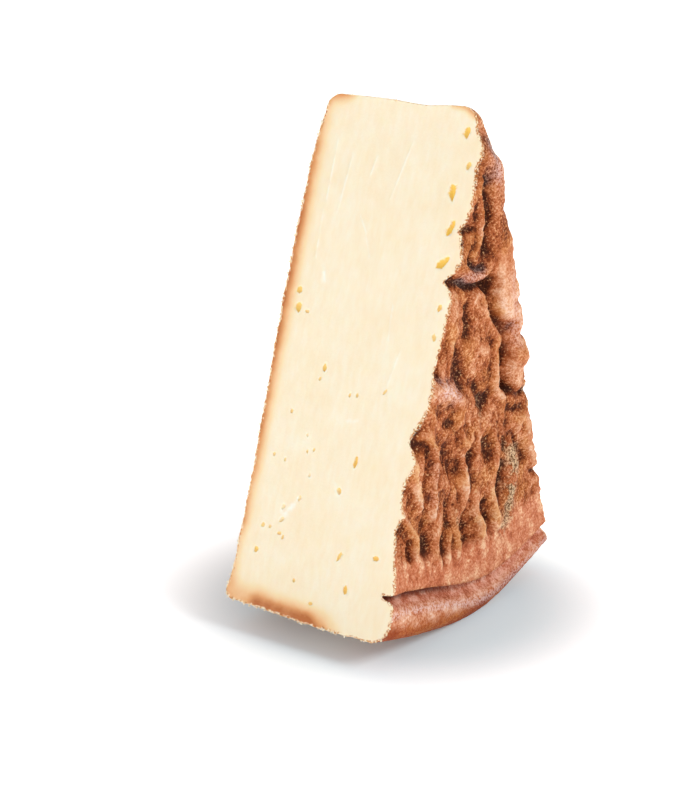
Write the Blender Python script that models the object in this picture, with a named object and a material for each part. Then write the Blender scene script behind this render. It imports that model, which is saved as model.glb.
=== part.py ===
"""A tenth of a wheel of vacherin fribourgeois, standing on its heel with the tip up.

The wedge is one solid. +X is the wheel's axis and the outward side of the wrinkled rind, -Y the side of
the cut face that shows in front, and +Z is up. The origin is the middle of the flat spot on which the
heel rests. Sizes below are in millimetres and degrees.
"""

import math

import bmesh
import bpy
import numpy as np

MM = 0.001
NODE = "cheese_wedge"

# Driving sizes of the wheel and of the wedge cut from it
WHEEL_RADIUS = 182.0
WHEEL_HEIGHT = 67.0
WEDGE_ANGLE = 36.0
HALF_ANGLE = math.radians(WEDGE_ANGLE / 2)
TIP_BLUNTNESS = 0.5  # radius at which the two cuts stop short of the wheel's centre
TIP_HEIGHT = 183.4  # the wheel's centre over the flat spot

# The soft heel has sagged into a belly, a little behind its middle
BELLY_DEPTH = 3.0
BELLY_TURN = math.radians(3)
BELLY_WIDTH = math.radians(8.5)

# The rim that a hoop left round the wrinkled side, and the fold behind it
RIM_ROUND = (7.0, 8.0)  # along the radius, along the axis
FOLD_RADIUS = 164.4
FOLD_CUT_SHIFT = 1.2  # how much nearer the heel it lies at the front cut, where it is pinched
FOLD_OPEN_TURN = math.radians(-15)  # where it has opened
FOLD_DRIFT = 6.3  # how much nearer the heel the fold runs at the back
FOLD_DRIFT_START = math.radians(-12)
FOLD_DRIFT_END = math.radians(6)
FOLD_DEPTH = 4.6
FOLD_BACK_DEPTH = 4.0
FOLD_INNER_WIDTH = 1.5
FOLD_PINCHED_WIDTH = 2.0
FOLD_OPEN_WIDTH = 4.4
FOLD_FLATNESS = 3.0  # of its floor
FOLD_LIP = 1.5  # how far the wrinkled skin hangs over the fold
LIP_WIDTH = 2.5
BELT_START = 152.0  # the wrinkles die away between these two radii
BELT_END = 163.0

# Corners of the section, along the radius and along the axis
TIP_ROUND_FLAT = (3.0, 3.0)
TIP_ROUND_WRINKLED = (4.5, 4.5)
HEEL_CORNER = (3.0, 2.6)

# The tip's edge dips a little, and the heel's line falls towards the flat side
TIP_DIP = 1.0
TIP_DIP_PLACE = 9.0
TIP_DIP_WIDTH = 11.0
HEEL_LINE = (-36, -18, 0, 10, 24)
HEEL_DROPS = (0.8, 0.3, -0.4, -0.5, -0.3)

# Depth of the wrinkled side under half the wheel's height, along the radius
SAG_RADII = (0, 5, 10, 16, 24, 60, 105, 138, 150, 160, 172, 182)
SAG_DEPTHS = (5.6, 3.6, 3.1, 1.9, 1.2, 1.1, 1.9, 2.9, 2.6, 1.2, 0.2, 0.2)
SIDE_TILT = 1.1  # the back of it stands this much prouder, and the front as much lower

# Depth of the flat side under half the wheel's height. It flares just above the heel
FLAT_RADII = (0, 3, 8, 18, 40, 160, 172, 179, 182)
FLAT_DEPTHS = (5.0, 3.0, 2.0, 0.5, -0.5, -0.5, -0.9, -2.0, -1.6)

# Swells of the wrinkled side: height, half width, flatness of the top, then points along the crest, each
# as its distance down from the tip and across from the middle
SWELLS = (
    (3.6, 6.5, 3.5, (
        (13, 1), (22, 4.5), (32, 6), (42, 8), (52, 12), (62, 15), (72, 18), (82, 21), (88, 23.5),
    )),
    (1.9, 4.2, 2.6, ((90, 23.5), (97, 26), (104, 27))),
    (1.3, 2.6, 2, ((17, -4), (27, -7), (33, -10))),
    (1.8, 1.5, 1.7, ((24, -5), (31, -3.3), (39, -3.3), (45, -4.2), (49, -8))),
    (1.0, 2.4, 2, ((43, -9), (47, -12))),
    (1.5, 2.1, 2, ((49.5, -15), (52.5, -13), (55, -9), (57, -4), (56.5, 1), (53.5, 3.5), (50.5, 2.5))),
    (0.8, 1.6, 2, ((48.5, -11), (50.5, -8))),
    (2.0, 2.4, 2.2, (
        (64, 2), (68, 0.5), (72, 3.5), (76, 7.5), (81, 11.5),
        (86, 12), (92, 11), (96, 10.5), (100, 13.5), (104, 18.5),
    )),
    (1.2, 2.6, 2, ((63.5, -18), (75.5, -17.5), (84, -22), (91, -23.5))),
    (1.0, 2.4, 2, ((64, -4.5), (72, -2.5), (77, 2))),
    (1.2, 3.0, 2, ((79, -8), (82, 0), (85, 6))),
    (2.4, 3.4, 2.4, ((92, -26.5), (94, -21.5), (96, -15.5), (100, -11.5), (105, -11.5))),
    (1.4, 3.0, 2, ((98, -30), (103, -27), (106, -22), (109, -16))),
    (2.4, 1.9, 1.6, ((106, -30), (111, -27), (117, -25), (128, -25), (137, -25))),
    (1.8, 2.2, 1.8, ((115, -37), (122.5, -36), (130.5, -32))),
    (1.9, 1.7, 1.6, ((131.5, -42), (137, -38.5), (142.5, -35), (150, -35))),
    (1.7, 1.8, 1.8, ((111, -9), (113.5, -7.5), (116.5, -4))),
    (1.6, 1.9, 1.8, ((112, 1), (117.5, 2), (123, 3.5))),
    (1.4, 2.0, 1.8, ((117, 13), (123.5, 16), (130, 15.5))),
    (1.6, 2.2, 1.8, ((127, -4.5), (134, -3.5), (139, -6))),
    (1.3, 3.6, 2.5, ((134, 26), (143, 26))),
    (1.9, 3.0, 2.2, ((118, 28), (114, 31.5), (120, 35.5), (128, 38.5), (135, 41))),
    (1.2, 3.0, 2, ((143, 43), (148, 46))),
    (1.6, 2.0, 1.8, ((137, 3), (144, 4), (152, 5))),
    (1.4, 2.0, 1.8, ((138, 14), (146, 15.5), (154, 15))),
    (1.4, 2.0, 1.8, ((140, -11), (147, -9.5), (156, -10.5))),
    (1.2, 2.2, 1.8, ((138.5, -21), (146.5, -22), (153, -21))),
    (1.4, 1.8, 2, ((146, -14), (158, -15))),
    (1.3, 1.8, 2, ((148, -9.7), (157, -9.3))),
    (1.6, 2.4, 2, ((148, 5.5), (160, 8.5))),
    (1.5, 2.0, 2, ((143, 17.5), (153, 19))),
)

LOBE = SWELLS[0][3] + SWELLS[1][3]  # the large smooth swell, on which the puckers are faint
LOBE_WIDTH = 7.0

# Hollows and creases between them: depth, half width, flatness of the floor, then points along the floor
HOLLOWS = (
    (2.2, 3.0, 2, ((10.5, 4), (14.5, 5))),
    (1.1, 3.5, 2, ((28, 9.5), (36, 12.5))),
    (0.7, 2.0, 2, ((33, -7), (36, -6.5))),
    (1.5, 1.5, 2, ((39, -13), (40, -8))),
    (2.3, 2.0, 2, ((25, -1.5), (31, -0.3), (38, 0), (45, 0.5), (50, 2))),
    (2.2, 1.6, 1.6, ((50, -10), (53, -6), (54.5, -2), (54, 0.5))),
    (3.4, 1.7, 1.6, ((55.4, -20), (57, -14), (59.5, -8), (61, -2), (61, 4))),
    (4.3, 2.8, 1.9, (
        (61, 6), (66, 5), (71, 7.5), (75, 11), (79.5, 15),
        (84, 16), (91, 15.5), (95, 15), (99, 18), (103, 22),
    )),
    (1.9, 2.1, 2, ((66.5, -9), (76, -8))),
    (1.6, 2.2, 2, ((79, -15), (82, -14))),
    (3.0, 4.2, 2.6, ((89, -12), (91, -10))),
    (2.2, 3.2, 2.4, ((95, -2), (97, 0))),
    (3.0, 3.8, 2.6, ((102, 5), (104, 7))),
    (1.6, 1.8, 2, ((86, -26), (88, -25))),
    (1.6, 2.6, 2, ((105.5, -19), (106.5, -16))),
    (2.6, 3.5, 2.4, ((106.5, -36), (110, -31))),
    (2.8, 4.2, 2.4, ((116, -16), (121, -14), (124, -10))),
    (1.2, 3.0, 2.2, ((122, -39), (128, -38))),
    (1.0, 2.8, 2.2, ((138, -42), (146, -41))),
    (1.8, 1.2, 1.8, ((142.5, -37.6), (149, -37.2))),
    (1.9, 2.8, 2, ((121, -1), (132, 0.5))),
    (1.9, 3.2, 2, ((119, 9), (124, 11))),
    (2.2, 2.2, 2, ((122, 22), (124, 23))),
    (2.4, 2.3, 2, ((130, 21.5), (137, 20.5), (143, 19))),
    (1.5, 2.0, 2, ((119, 25), (125, 31), (133, 35))),
    (1.2, 1.4, 2, ((137, 39), (139, 47))),
    (2.3, 2.4, 2, ((142, 9.5), (149, 10.5))),
    (2.0, 3.6, 2, ((144, -2.5), (154, -2))),
    (1.3, 2.8, 2, ((134, -14.5), (144, -14))),
    (1.9, 3.4, 2, ((140, -29), (147, -28))),
    (1.7, 1.7, 2, ((147, -18), (157, -17.5))),
    (1.8, 2.4, 2, ((148, -3), (158, -1.5))),
    (1.7, 2.2, 2, ((149, 12), (157, 13.5))),
    (1.5, 2.0, 2, ((147, -28), (152, -27))),
    (2.0, 2.0, 2, ((97, 17), (102, 22), (105, 27), (106, 33))),
    (1.4, 2.0, 2, ((110, 24), (112, 32))),
    (1.4, 1.4, 2, ((35, 10), (36, 14))),
    (1.2, 1.4, 2, ((69, 20), (69.5, 26))),
    (1.2, 1.4, 2, ((81.5, 24), (82, 30))),
)

# Unevenness: the strokes' wander, the wrinkles that run down the side, and the puckers between them
WANDER = 1.1
WANDER_SIZE = 8.0
FRAY = 0.4
FRAY_SIZE = 2.7
WRINKLE_HEIGHT = 0.5
WRINKLE_WIDTH = 8.0
WRINKLE_LENGTH = 24.0
WRINKLE_SWAY = 0.4
PUCKER_HEIGHT = 0.8
PUCKER_SIZE = 5.0
CLOTH_HEIGHT = 0.35  # unevenness of the flat side and of the heel
CLOTH_SIZE = 14.0

# The larger eyes of the front cut: down along the cut, across the wheel, half length, half width, lean
EYES = (
    (9, 26.8, 2.1, 1.0, 8),
    (20, 29.6, 1.5, 0.8, 20),
    (29.5, 25.4, 2.8, 1.2, -10),
    (41.2, 27.5, 2.9, 1.0, 20),
    (53, 26.8, 2.9, 1.4, 50),
    (68, 29, 1.2, 0.8, 10),
    (70, -28.2, 1.3, 1.1, 0),
    (76, -27.2, 1.9, 1.1, -10),
    (95, -11.8, 1.4, 0.8, -5),
    (124.5, 7.8, 2.2, 0.8, 5),
    (135.3, 3.5, 1.3, 0.9, -35),
    (148, -16.6, 2.6, 1.0, 45),
    (154.4, 23, 0.9, 1.2, 0),
    (157, 8.5, 1.8, 0.7, 20),
    (162, -25.8, 1.2, 0.9, 10),
    (167.4, 13.4, 1.6, 0.8, -5),
)
EYE_DEPTH = 1.3
EYE_SEED = 7  # for the cut face at the back

# Mesh density
TURN_STEPS = 44
FLAT_STEPS = 14
HEEL_STEPS = 9
FLARE_START = 14.0  # above the heel
WRINKLE_STEP = 2.2
FOLD_STEP = 1.1
TRIANGLES = 9000

RIND_COLOUR = (0.36, 0.15, 0.07, 1.0)
RIND_ROUGHNESS = 0.6
PASTE_COLOUR = (0.96, 0.84, 0.58, 1.0)


def clear_scene():
    for obj in list(bpy.data.objects):
        bpy.data.objects.remove(obj, do_unlink=True)


def lattice(column, row, seed):
    """A repeatable angle for each whole-number point of a grid."""
    mixed = (column * 374761393 + row * 668265263 + seed * 974634777) & 0xFFFFFFFF
    mixed = ((mixed ^ (mixed >> 13)) * 1274126177) & 0xFFFFFFFF
    return ((mixed ^ (mixed >> 16)) & 0xFFFF) / 65536 * 2 * math.pi


def noise(u, v, seed):
    """Smooth gradient noise of two coordinates, about -1 to 1."""
    column, row = np.floor(u).astype(np.int64), np.floor(v).astype(np.int64)
    fu, fv = u - column, v - row
    su, sv = (f * f * f * (f * (f * 6 - 15) + 10) for f in (fu, fv))
    corners = []
    for down in (0, 1):
        for right in (0, 1):
            angle = lattice(column + right, row + down, seed)
            corners.append(np.cos(angle) * (fu - right) + np.sin(angle) * (fv - down))
    upper = corners[0] + (corners[1] - corners[0]) * su
    lower = corners[2] + (corners[3] - corners[2]) * su
    return (upper + (lower - upper) * sv) * 1.5


def smooth_step(low, high, value):
    t = np.clip((value - low) / (high - low), 0, 1)
    return t * t * (3 - 2 * t)


def through(stops, heights, value):
    """A smooth curve through a few heights."""
    stops, heights = np.array(stops, float), np.array(heights, float)
    slopes = np.gradient(heights, stops)
    span = np.clip(np.searchsorted(stops, value) - 1, 0, len(stops) - 2)
    width = stops[span + 1] - stops[span]
    t = np.clip((value - stops[span]) / width, 0, 1)
    start = heights[span] * (1 + 2 * t) + slopes[span] * width * t
    end = heights[span + 1] * (3 - 2 * t) - slopes[span + 1] * width * (1 - t)
    return start * (1 - t) ** 2 + end * t**2


def distance_to_line(down, across, points):
    """Distance of each place from a chain of straight runs."""
    nearest = np.full(np.shape(down), np.inf)
    for (d0, a0), (d1, a1) in zip(points, points[1:]):
        run = np.array([d1 - d0, a1 - a0], float)
        along = ((down - d0) * run[0] + (across - a0) * run[1]) / (run @ run)
        along = np.clip(along, 0, 1)
        gap = np.hypot(down - d0 - along * run[0], across - a0 - along * run[1])
        nearest = np.minimum(nearest, gap)
    return nearest


def strokes(down, across, table):
    """Total height of a table of swells at each place."""
    total = np.zeros(np.shape(down))
    for height, half_width, flatness, points in table:
        gap = distance_to_line(down, across, points)
        total += height * np.exp(-((gap / half_width) ** flatness))
    return total


def wander(down, across, seed):
    """How far a place is pushed aside, so that no stroke runs straight."""
    wide = WANDER * noise(down / WANDER_SIZE, across / WANDER_SIZE, seed)
    return wide + FRAY * noise(down / FRAY_SIZE, across / FRAY_SIZE, seed + 2)


def wrinkles(radius, turn):
    """Height of the swells, hollows and puckers of the wrinkled side at a radius and an angle in radians."""
    down, across = radius * np.cos(turn), radius * np.sin(turn)
    d, a = down + wander(down, across, 41), across + wander(down, across, 42)
    height = strokes(d, a, SWELLS) - strokes(d, a, HOLLOWS)
    sway = WRINKLE_SWAY * noise(down / 15, across / 15, 3)
    fan = turn * np.sqrt(radius * WHEEL_RADIUS) / WRINKLE_WIDTH + sway
    ridge = 1 - 2.4 * np.abs(noise(fan, radius / WRINKLE_LENGTH, 5))
    height += WRINKLE_HEIGHT * smooth_step(20, 90, radius) * ridge
    pucker = np.abs(noise(d / PUCKER_SIZE, a / PUCKER_SIZE * 1.2, 9)) - 0.3
    calm = 1 - 0.8 * strokes(d, a, ((1, LOBE_WIDTH, 3, LOBE),))
    height += PUCKER_HEIGHT * smooth_step(15, 45, radius) * pucker * calm
    return height * (1 - smooth_step(BELT_START, BELT_END, radius)) * smooth_step(5, 15, radius)


def fold_place(turn):
    """Radius, depth and outer width of the fold at an angle."""
    drift = smooth_step(FOLD_DRIFT_START, FOLD_DRIFT_END, turn)
    opened = smooth_step(-HALF_ANGLE, FOLD_OPEN_TURN, turn)
    middle = FOLD_RADIUS + FOLD_CUT_SHIFT * (1 - opened) + FOLD_DRIFT * drift
    depth = FOLD_DEPTH + (FOLD_BACK_DEPTH - FOLD_DEPTH) * drift
    width = FOLD_PINCHED_WIDTH + (FOLD_OPEN_WIDTH - FOLD_PINCHED_WIDTH) * opened
    return middle, depth, width


def fold(radius, turn):
    """Depth of the fold between the wrinkled skin and the rim."""
    middle, depth, outer_width = fold_place(turn)
    offset = radius - middle
    width = np.where(offset < 0, FOLD_INNER_WIDTH, outer_width)
    return depth * np.exp(-(np.abs(offset / width) ** FOLD_FLATNESS))


def wrinkled_side(radius, turn):
    """How far the wrinkled side lies under half the wheel's height."""
    tilted = smooth_step(60, 130, radius) * smooth_step(BELT_END, BELT_START, radius)
    tilt = SIDE_TILT * turn / HALF_ANGLE * tilted
    return through(SAG_RADII, SAG_DEPTHS, radius) - tilt + fold(radius, turn) - wrinkles(radius, turn)


def quarter(centre, radii, start, end, steps):
    """Points (radius, axis) along part of an ellipse, between two angles in degrees."""
    angles = np.radians(np.linspace(start, end, steps))
    return [(centre[0] + radii[0] * math.cos(a), centre[1] + radii[1] * math.sin(a)) for a in angles]


def section():
    """The wheel's closed section (radius, axis), from the tip along the flat side, the heel and the rim."""
    half = WHEEL_HEIGHT / 2
    flat_r, flat_x = TIP_ROUND_FLAT
    top_r, top_x = TIP_ROUND_WRINKLED
    corner_r, corner_x = HEEL_CORNER
    rim_r, rim_x = RIM_ROUND
    flat_start = TIP_BLUNTNESS + flat_r
    tip_low = quarter((flat_start, -half + flat_x), TIP_ROUND_FLAT, 180, 270, 5)
    flat_end = WHEEL_RADIUS - corner_r
    bend = WHEEL_RADIUS - FLARE_START
    flat = [(r, -half) for r in np.linspace(flat_start, bend, FLAT_STEPS)[1:]]
    flare = [(r, -half) for r in np.linspace(bend, flat_end, 5)[1:-1]]
    corner = quarter((flat_end, -half + corner_x), HEEL_CORNER, 270, 360, 5)
    heel_end = half - rim_x
    heel = [(WHEEL_RADIUS, x) for x in np.linspace(-half + corner_x, heel_end, HEEL_STEPS)[1:-1]]
    edge = WHEEL_RADIUS - rim_r
    rim = quarter((edge, heel_end), RIM_ROUND, 0, 90, 9)
    fold_steps = round((edge - BELT_START) / FOLD_STEP)
    near_fold = [(r, half) for r in np.linspace(edge, BELT_START, fold_steps)[1:]]
    top_end = TIP_BLUNTNESS + top_r
    top_steps = round((BELT_START - top_end) / WRINKLE_STEP)
    top = [(r, half) for r in np.linspace(BELT_START, top_end, top_steps)[1:-1]]
    tip_top = quarter((top_end, half - top_x), TIP_ROUND_WRINKLED, 90, 180, 5)
    tip = [(TIP_BLUNTNESS, x) for x in np.linspace(half - top_x, -half + flat_x, 9)[1:-1]]
    return tip_low + flat + flare + corner + heel + rim + near_fold + top + tip_top + tip


def shaped(radius, axis, turn):
    """Where a point of the plain section goes once the sides have their relief."""
    half = WHEEL_HEIGHT / 2
    arc = turn * WHEEL_RADIUS
    near_tip = smooth_step(TIP_ROUND_WRINKLED[0] + 2, TIP_BLUNTNESS, radius) * (axis > 0)
    on_top = np.maximum(smooth_step(half - RIM_ROUND[1], half - 1, axis), near_tip)
    on_top = on_top * smooth_step(0, half - TIP_ROUND_WRINKLED[1], axis)
    on_flat = smooth_step(0, half - TIP_ROUND_FLAT[1], -axis)
    cloth = CLOTH_HEIGHT * noise(radius / CLOTH_SIZE, arc / CLOTH_SIZE, 21)
    flat_depth = through(FLAT_RADII, FLAT_DEPTHS, radius) + cloth * smooth_step(8, 30, radius)
    new_axis = axis - on_top * wrinkled_side(radius, turn) + on_flat * flat_depth
    at_heel = smooth_step(WHEEL_RADIUS - 12, WHEEL_RADIUS, radius)
    wave = CLOTH_HEIGHT * noise(axis / CLOTH_SIZE, arc / (2 * CLOTH_SIZE), 33)
    fall = through(HEEL_LINE, HEEL_DROPS, new_axis) + np.maximum(wave, 0)
    belly = BELLY_DEPTH * np.exp(-(((turn - BELLY_TURN) / BELLY_WIDTH) ** 2))
    lip = FOLD_LIP * np.exp(-(((radius - fold_place(turn)[0] + LIP_WIDTH) / LIP_WIDTH) ** 2)) * on_top
    dip = TIP_DIP * np.exp(-(((axis - TIP_DIP_PLACE) / TIP_DIP_WIDTH) ** 2))
    dip = dip * (1 - smooth_step(0, 14, radius))
    return radius + at_heel * (belly - fall) + lip + dip, new_axis


def spin_section(bm):
    """Turns the section through the wedge's angle and caps both cuts. The wheel's axis is X."""
    first = [bm.verts.new((x, 0, -r)) for r, x in section()]
    edges = [bm.edges.new(pair) for pair in zip(first, first[1:] + first[:1])]
    start = bmesh.ops.spin(
        bm, geom=first + edges, axis=(1, 0, 0), dvec=(0, 0, 0), cent=(0, 0, 0), angle=-HALF_ANGLE, steps=1
    )
    start_edges = [e for e in start["geom_last"] if isinstance(e, bmesh.types.BMEdge)]
    start_verts = [v for v in start["geom_last"] if isinstance(v, bmesh.types.BMVert)]
    bmesh.ops.delete(bm, geom=first, context="VERTS")
    end = bmesh.ops.spin(
        bm,
        geom=start_verts + start_edges,
        axis=(1, 0, 0),
        dvec=(0, 0, 0),
        cent=(0, 0, 0),
        angle=2 * HALF_ANGLE,
        steps=TURN_STEPS,
    )
    end_edges = [e for e in end["geom_last"] if isinstance(e, bmesh.types.BMEdge)]
    return start_edges, end_edges


def shape_sides(bm):
    """Gives every point its relief, and flattens the heel where it rests."""
    places = np.array([v.co for v in bm.verts])
    radius = np.hypot(places[:, 1], places[:, 2])
    turn = np.arctan2(places[:, 1], -places[:, 2])
    radius, axis = shaped(radius, places[:, 0], turn)
    height = np.maximum(TIP_HEIGHT - radius * np.cos(turn), 0)
    for vert, x, y, z in zip(bm.verts, axis, radius * np.sin(turn), height):
        vert.co = (x * MM, y * MM, z * MM)


def wedge_body():
    """The wedge before its eyes are cut."""
    bm = bmesh.new()
    cuts = spin_section(bm)
    shape_sides(bm)
    for edges in cuts:
        bmesh.ops.contextual_create(bm, geom=edges)
    bmesh.ops.triangulate(bm, faces=bm.faces[:], ngon_method="BEAUTY")
    bmesh.ops.recalc_face_normals(bm, faces=bm.faces[:])
    triangles = len(bm.faces)
    mesh = bpy.data.meshes.new(NODE)
    bm.to_mesh(mesh)
    bm.free()
    wedge = bpy.data.objects.new(NODE, mesh)
    thin = wedge.modifiers.new("Even triangles", "DECIMATE")
    thin.ratio = min(1.0, TRIANGLES / triangles)
    return wedge


def back_eyes():
    """Eyes of the back cut, drawn by a seeded rule in the same sizes as those in front."""
    draw = np.random.default_rng(EYE_SEED)
    half = WHEEL_HEIGHT / 2
    for _, _, long, wide, _ in EYES[::2]:
        down = draw.uniform(20, WHEEL_RADIUS - 25)
        across = draw.uniform(-half + 9, half - 12)
        yield down, across, long, wide, draw.uniform(-30, 30)


def eye_cutter(collection, name, place, side):
    """A lens-shaped hollow, centred on one of the cuts: side is -1 at the front and 1 at the back."""
    down, across, long, wide, lean = place
    turn = side * HALF_ANGLE
    bpy.ops.mesh.primitive_ico_sphere_add(subdivisions=2, radius=1)
    cutter = bpy.context.object
    cutter.name = name
    centre = (across, down * math.sin(turn), TIP_HEIGHT - down * math.cos(turn))
    cutter.location = [c * MM for c in centre]
    cutter.scale = (wide * MM, EYE_DEPTH * MM, long * MM)
    cutter.rotation_euler = (turn, math.radians(lean), 0)
    cutter.hide_render = True
    cutter.display_type = "WIRE"
    for home in cutter.users_collection:
        home.objects.unlink(cutter)
    collection.objects.link(cutter)


def cut_eyes(wedge, cutters):
    for side, eyes in ((-1, EYES), (1, tuple(back_eyes()))):
        for number, place in enumerate(eyes):
            eye_cutter(cutters, f"eye_{'front' if side < 0 else 'back'}_{number:02d}", place, side)
    cut = wedge.modifiers.new("Eyes", "BOOLEAN")
    cut.operation = "DIFFERENCE"
    cut.operand_type = "COLLECTION"
    cut.collection = cutters
    cut.solver = "EXACT"


def material(name, colour, roughness):
    made = bpy.data.materials.new(name)
    made.use_nodes = True
    shader = made.node_tree.nodes["Principled BSDF"]
    shader.inputs["Base Color"].default_value = colour
    shader.inputs["Roughness"].default_value = roughness
    shader.inputs["Metallic"].default_value = 0.0
    return made


def paint(wedge):
    """Rind all over, and pale paste on the two cuts."""
    wedge.data.materials.append(material("rind", RIND_COLOUR, RIND_ROUGHNESS))
    wedge.data.materials.append(material("paste", PASTE_COLOUR, 0.5))
    for face in wedge.data.polygons:
        level = abs(face.normal.z - math.sin(HALF_ANGLE)) < 1e-3
        if level and abs(face.normal.x) < 1e-3:
            face.material_index = 1
    wedge.data.shade_smooth()
    wedge.data.set_sharp_from_angle(angle=math.radians(50))


def main():
    clear_scene()
    parts = bpy.data.collections.new("vacherin_fribourgeois")
    cutters = bpy.data.collections.new("cutters")
    for collection in (parts, cutters):
        bpy.context.scene.collection.children.link(collection)
    wedge = wedge_body()
    parts.objects.link(wedge)
    paint(wedge)
    cut_eyes(wedge, cutters)


main()
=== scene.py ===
"""Looks of a wedge of vacherin fribourgeois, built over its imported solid.

The wedge stands on its heel with the tip up. The wheel's axis is X, through the tip, so a place on it is a
radius from the tip, an axis height and a turn about X from straight down. Sizes are in millimetres, and those
of the form are the solid's own. The mesh is finer, so that it also holds the grain of the rind, the ragged
cut edges, the drag marks of the knife and the smaller eyes.
"""

import math

import bmesh
import bpy
import numpy as np
from mathutils import Matrix, Vector
from mathutils.geometry import delaunay_2d_cdt


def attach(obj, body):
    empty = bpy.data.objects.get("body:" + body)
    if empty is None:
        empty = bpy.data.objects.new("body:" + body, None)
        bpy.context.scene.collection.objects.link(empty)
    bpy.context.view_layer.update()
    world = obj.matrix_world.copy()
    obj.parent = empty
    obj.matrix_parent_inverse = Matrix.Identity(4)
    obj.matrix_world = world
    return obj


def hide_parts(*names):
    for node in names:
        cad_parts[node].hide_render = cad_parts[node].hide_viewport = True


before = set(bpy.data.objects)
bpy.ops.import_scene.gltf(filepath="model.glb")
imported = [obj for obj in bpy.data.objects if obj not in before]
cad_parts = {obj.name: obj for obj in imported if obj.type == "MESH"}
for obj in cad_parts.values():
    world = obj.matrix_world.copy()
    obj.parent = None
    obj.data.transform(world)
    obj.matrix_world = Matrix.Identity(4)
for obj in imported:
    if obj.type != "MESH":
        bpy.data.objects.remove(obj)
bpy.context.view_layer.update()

MM = 0.001
NODE = "cheese_wedge"
BODY = "root"

# Driving sizes of the wheel and of the wedge cut from it
WHEEL_RADIUS = 182.0
WHEEL_HEIGHT = 67.0
WEDGE_ANGLE = 36.0
HALF_ANGLE = math.radians(WEDGE_ANGLE / 2)
TIP_BLUNTNESS = 0.5  # radius at which the two cuts stop short of the wheel's centre
TIP_HEIGHT = 183.4  # the wheel's centre over the flat spot

# The soft heel has sagged into a belly, a little behind its middle
BELLY_DEPTH = 3.0
BELLY_TURN = math.radians(3)
BELLY_WIDTH = math.radians(8.5)

# The rim that a hoop left round the wrinkled side, and the fold behind it
RIM_ROUND = (7.0, 8.0)  # along the radius, along the axis
FOLD_RADIUS = 164.4
FOLD_CUT_SHIFT = 1.2  # how much nearer the heel it lies at the front cut, where it is pinched
FOLD_OPEN_TURN = math.radians(-15)  # where it has opened
FOLD_DRIFT = 6.3  # how much nearer the heel the fold runs at the back
FOLD_DRIFT_START = math.radians(-12)
FOLD_DRIFT_END = math.radians(6)
FOLD_DEPTH = 4.6
FOLD_BACK_DEPTH = 4.0
FOLD_INNER_WIDTH = 1.5
FOLD_PINCHED_WIDTH = 2.0
FOLD_OPEN_WIDTH = 4.4
FOLD_FLATNESS = 3.0  # of its floor
FOLD_LIP = 1.5  # how far the wrinkled skin hangs over the fold
LIP_WIDTH = 2.5
BELT_START = 152.0  # the wrinkles die away between these two radii
BELT_END = 163.0

# Corners of the section, along the radius and along the axis
TIP_ROUND_FLAT = (3.0, 3.0)
TIP_ROUND_WRINKLED = (4.5, 4.5)
HEEL_CORNER = (3.0, 2.6)

# The tip's edge dips a little, and the heel's line falls towards the flat side
TIP_DIP = 1.0
TIP_DIP_PLACE = 9.0
TIP_DIP_WIDTH = 11.0
HEEL_LINE = (-36, -18, 0, 10, 24)
HEEL_DROPS = (0.8, 0.3, -0.4, -0.5, -0.3)

# Depth of the wrinkled side under half the wheel's height, along the radius
SAG_RADII = (0, 5, 10, 16, 24, 60, 105, 138, 150, 160, 172, 182)
SAG_DEPTHS = (5.6, 3.6, 3.1, 1.9, 1.2, 1.1, 1.9, 2.9, 2.6, 1.2, 0.2, 0.2)
SIDE_TILT = 1.1  # the back of it stands this much prouder, and the front as much lower

# Depth of the flat side under half the wheel's height. It flares just above the heel
FLAT_RADII = (0, 3, 8, 18, 40, 160, 172, 179, 182)
FLAT_DEPTHS = (5.0, 3.0, 2.0, 0.5, -0.5, -0.5, -0.9, -2.0, -1.6)

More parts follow.
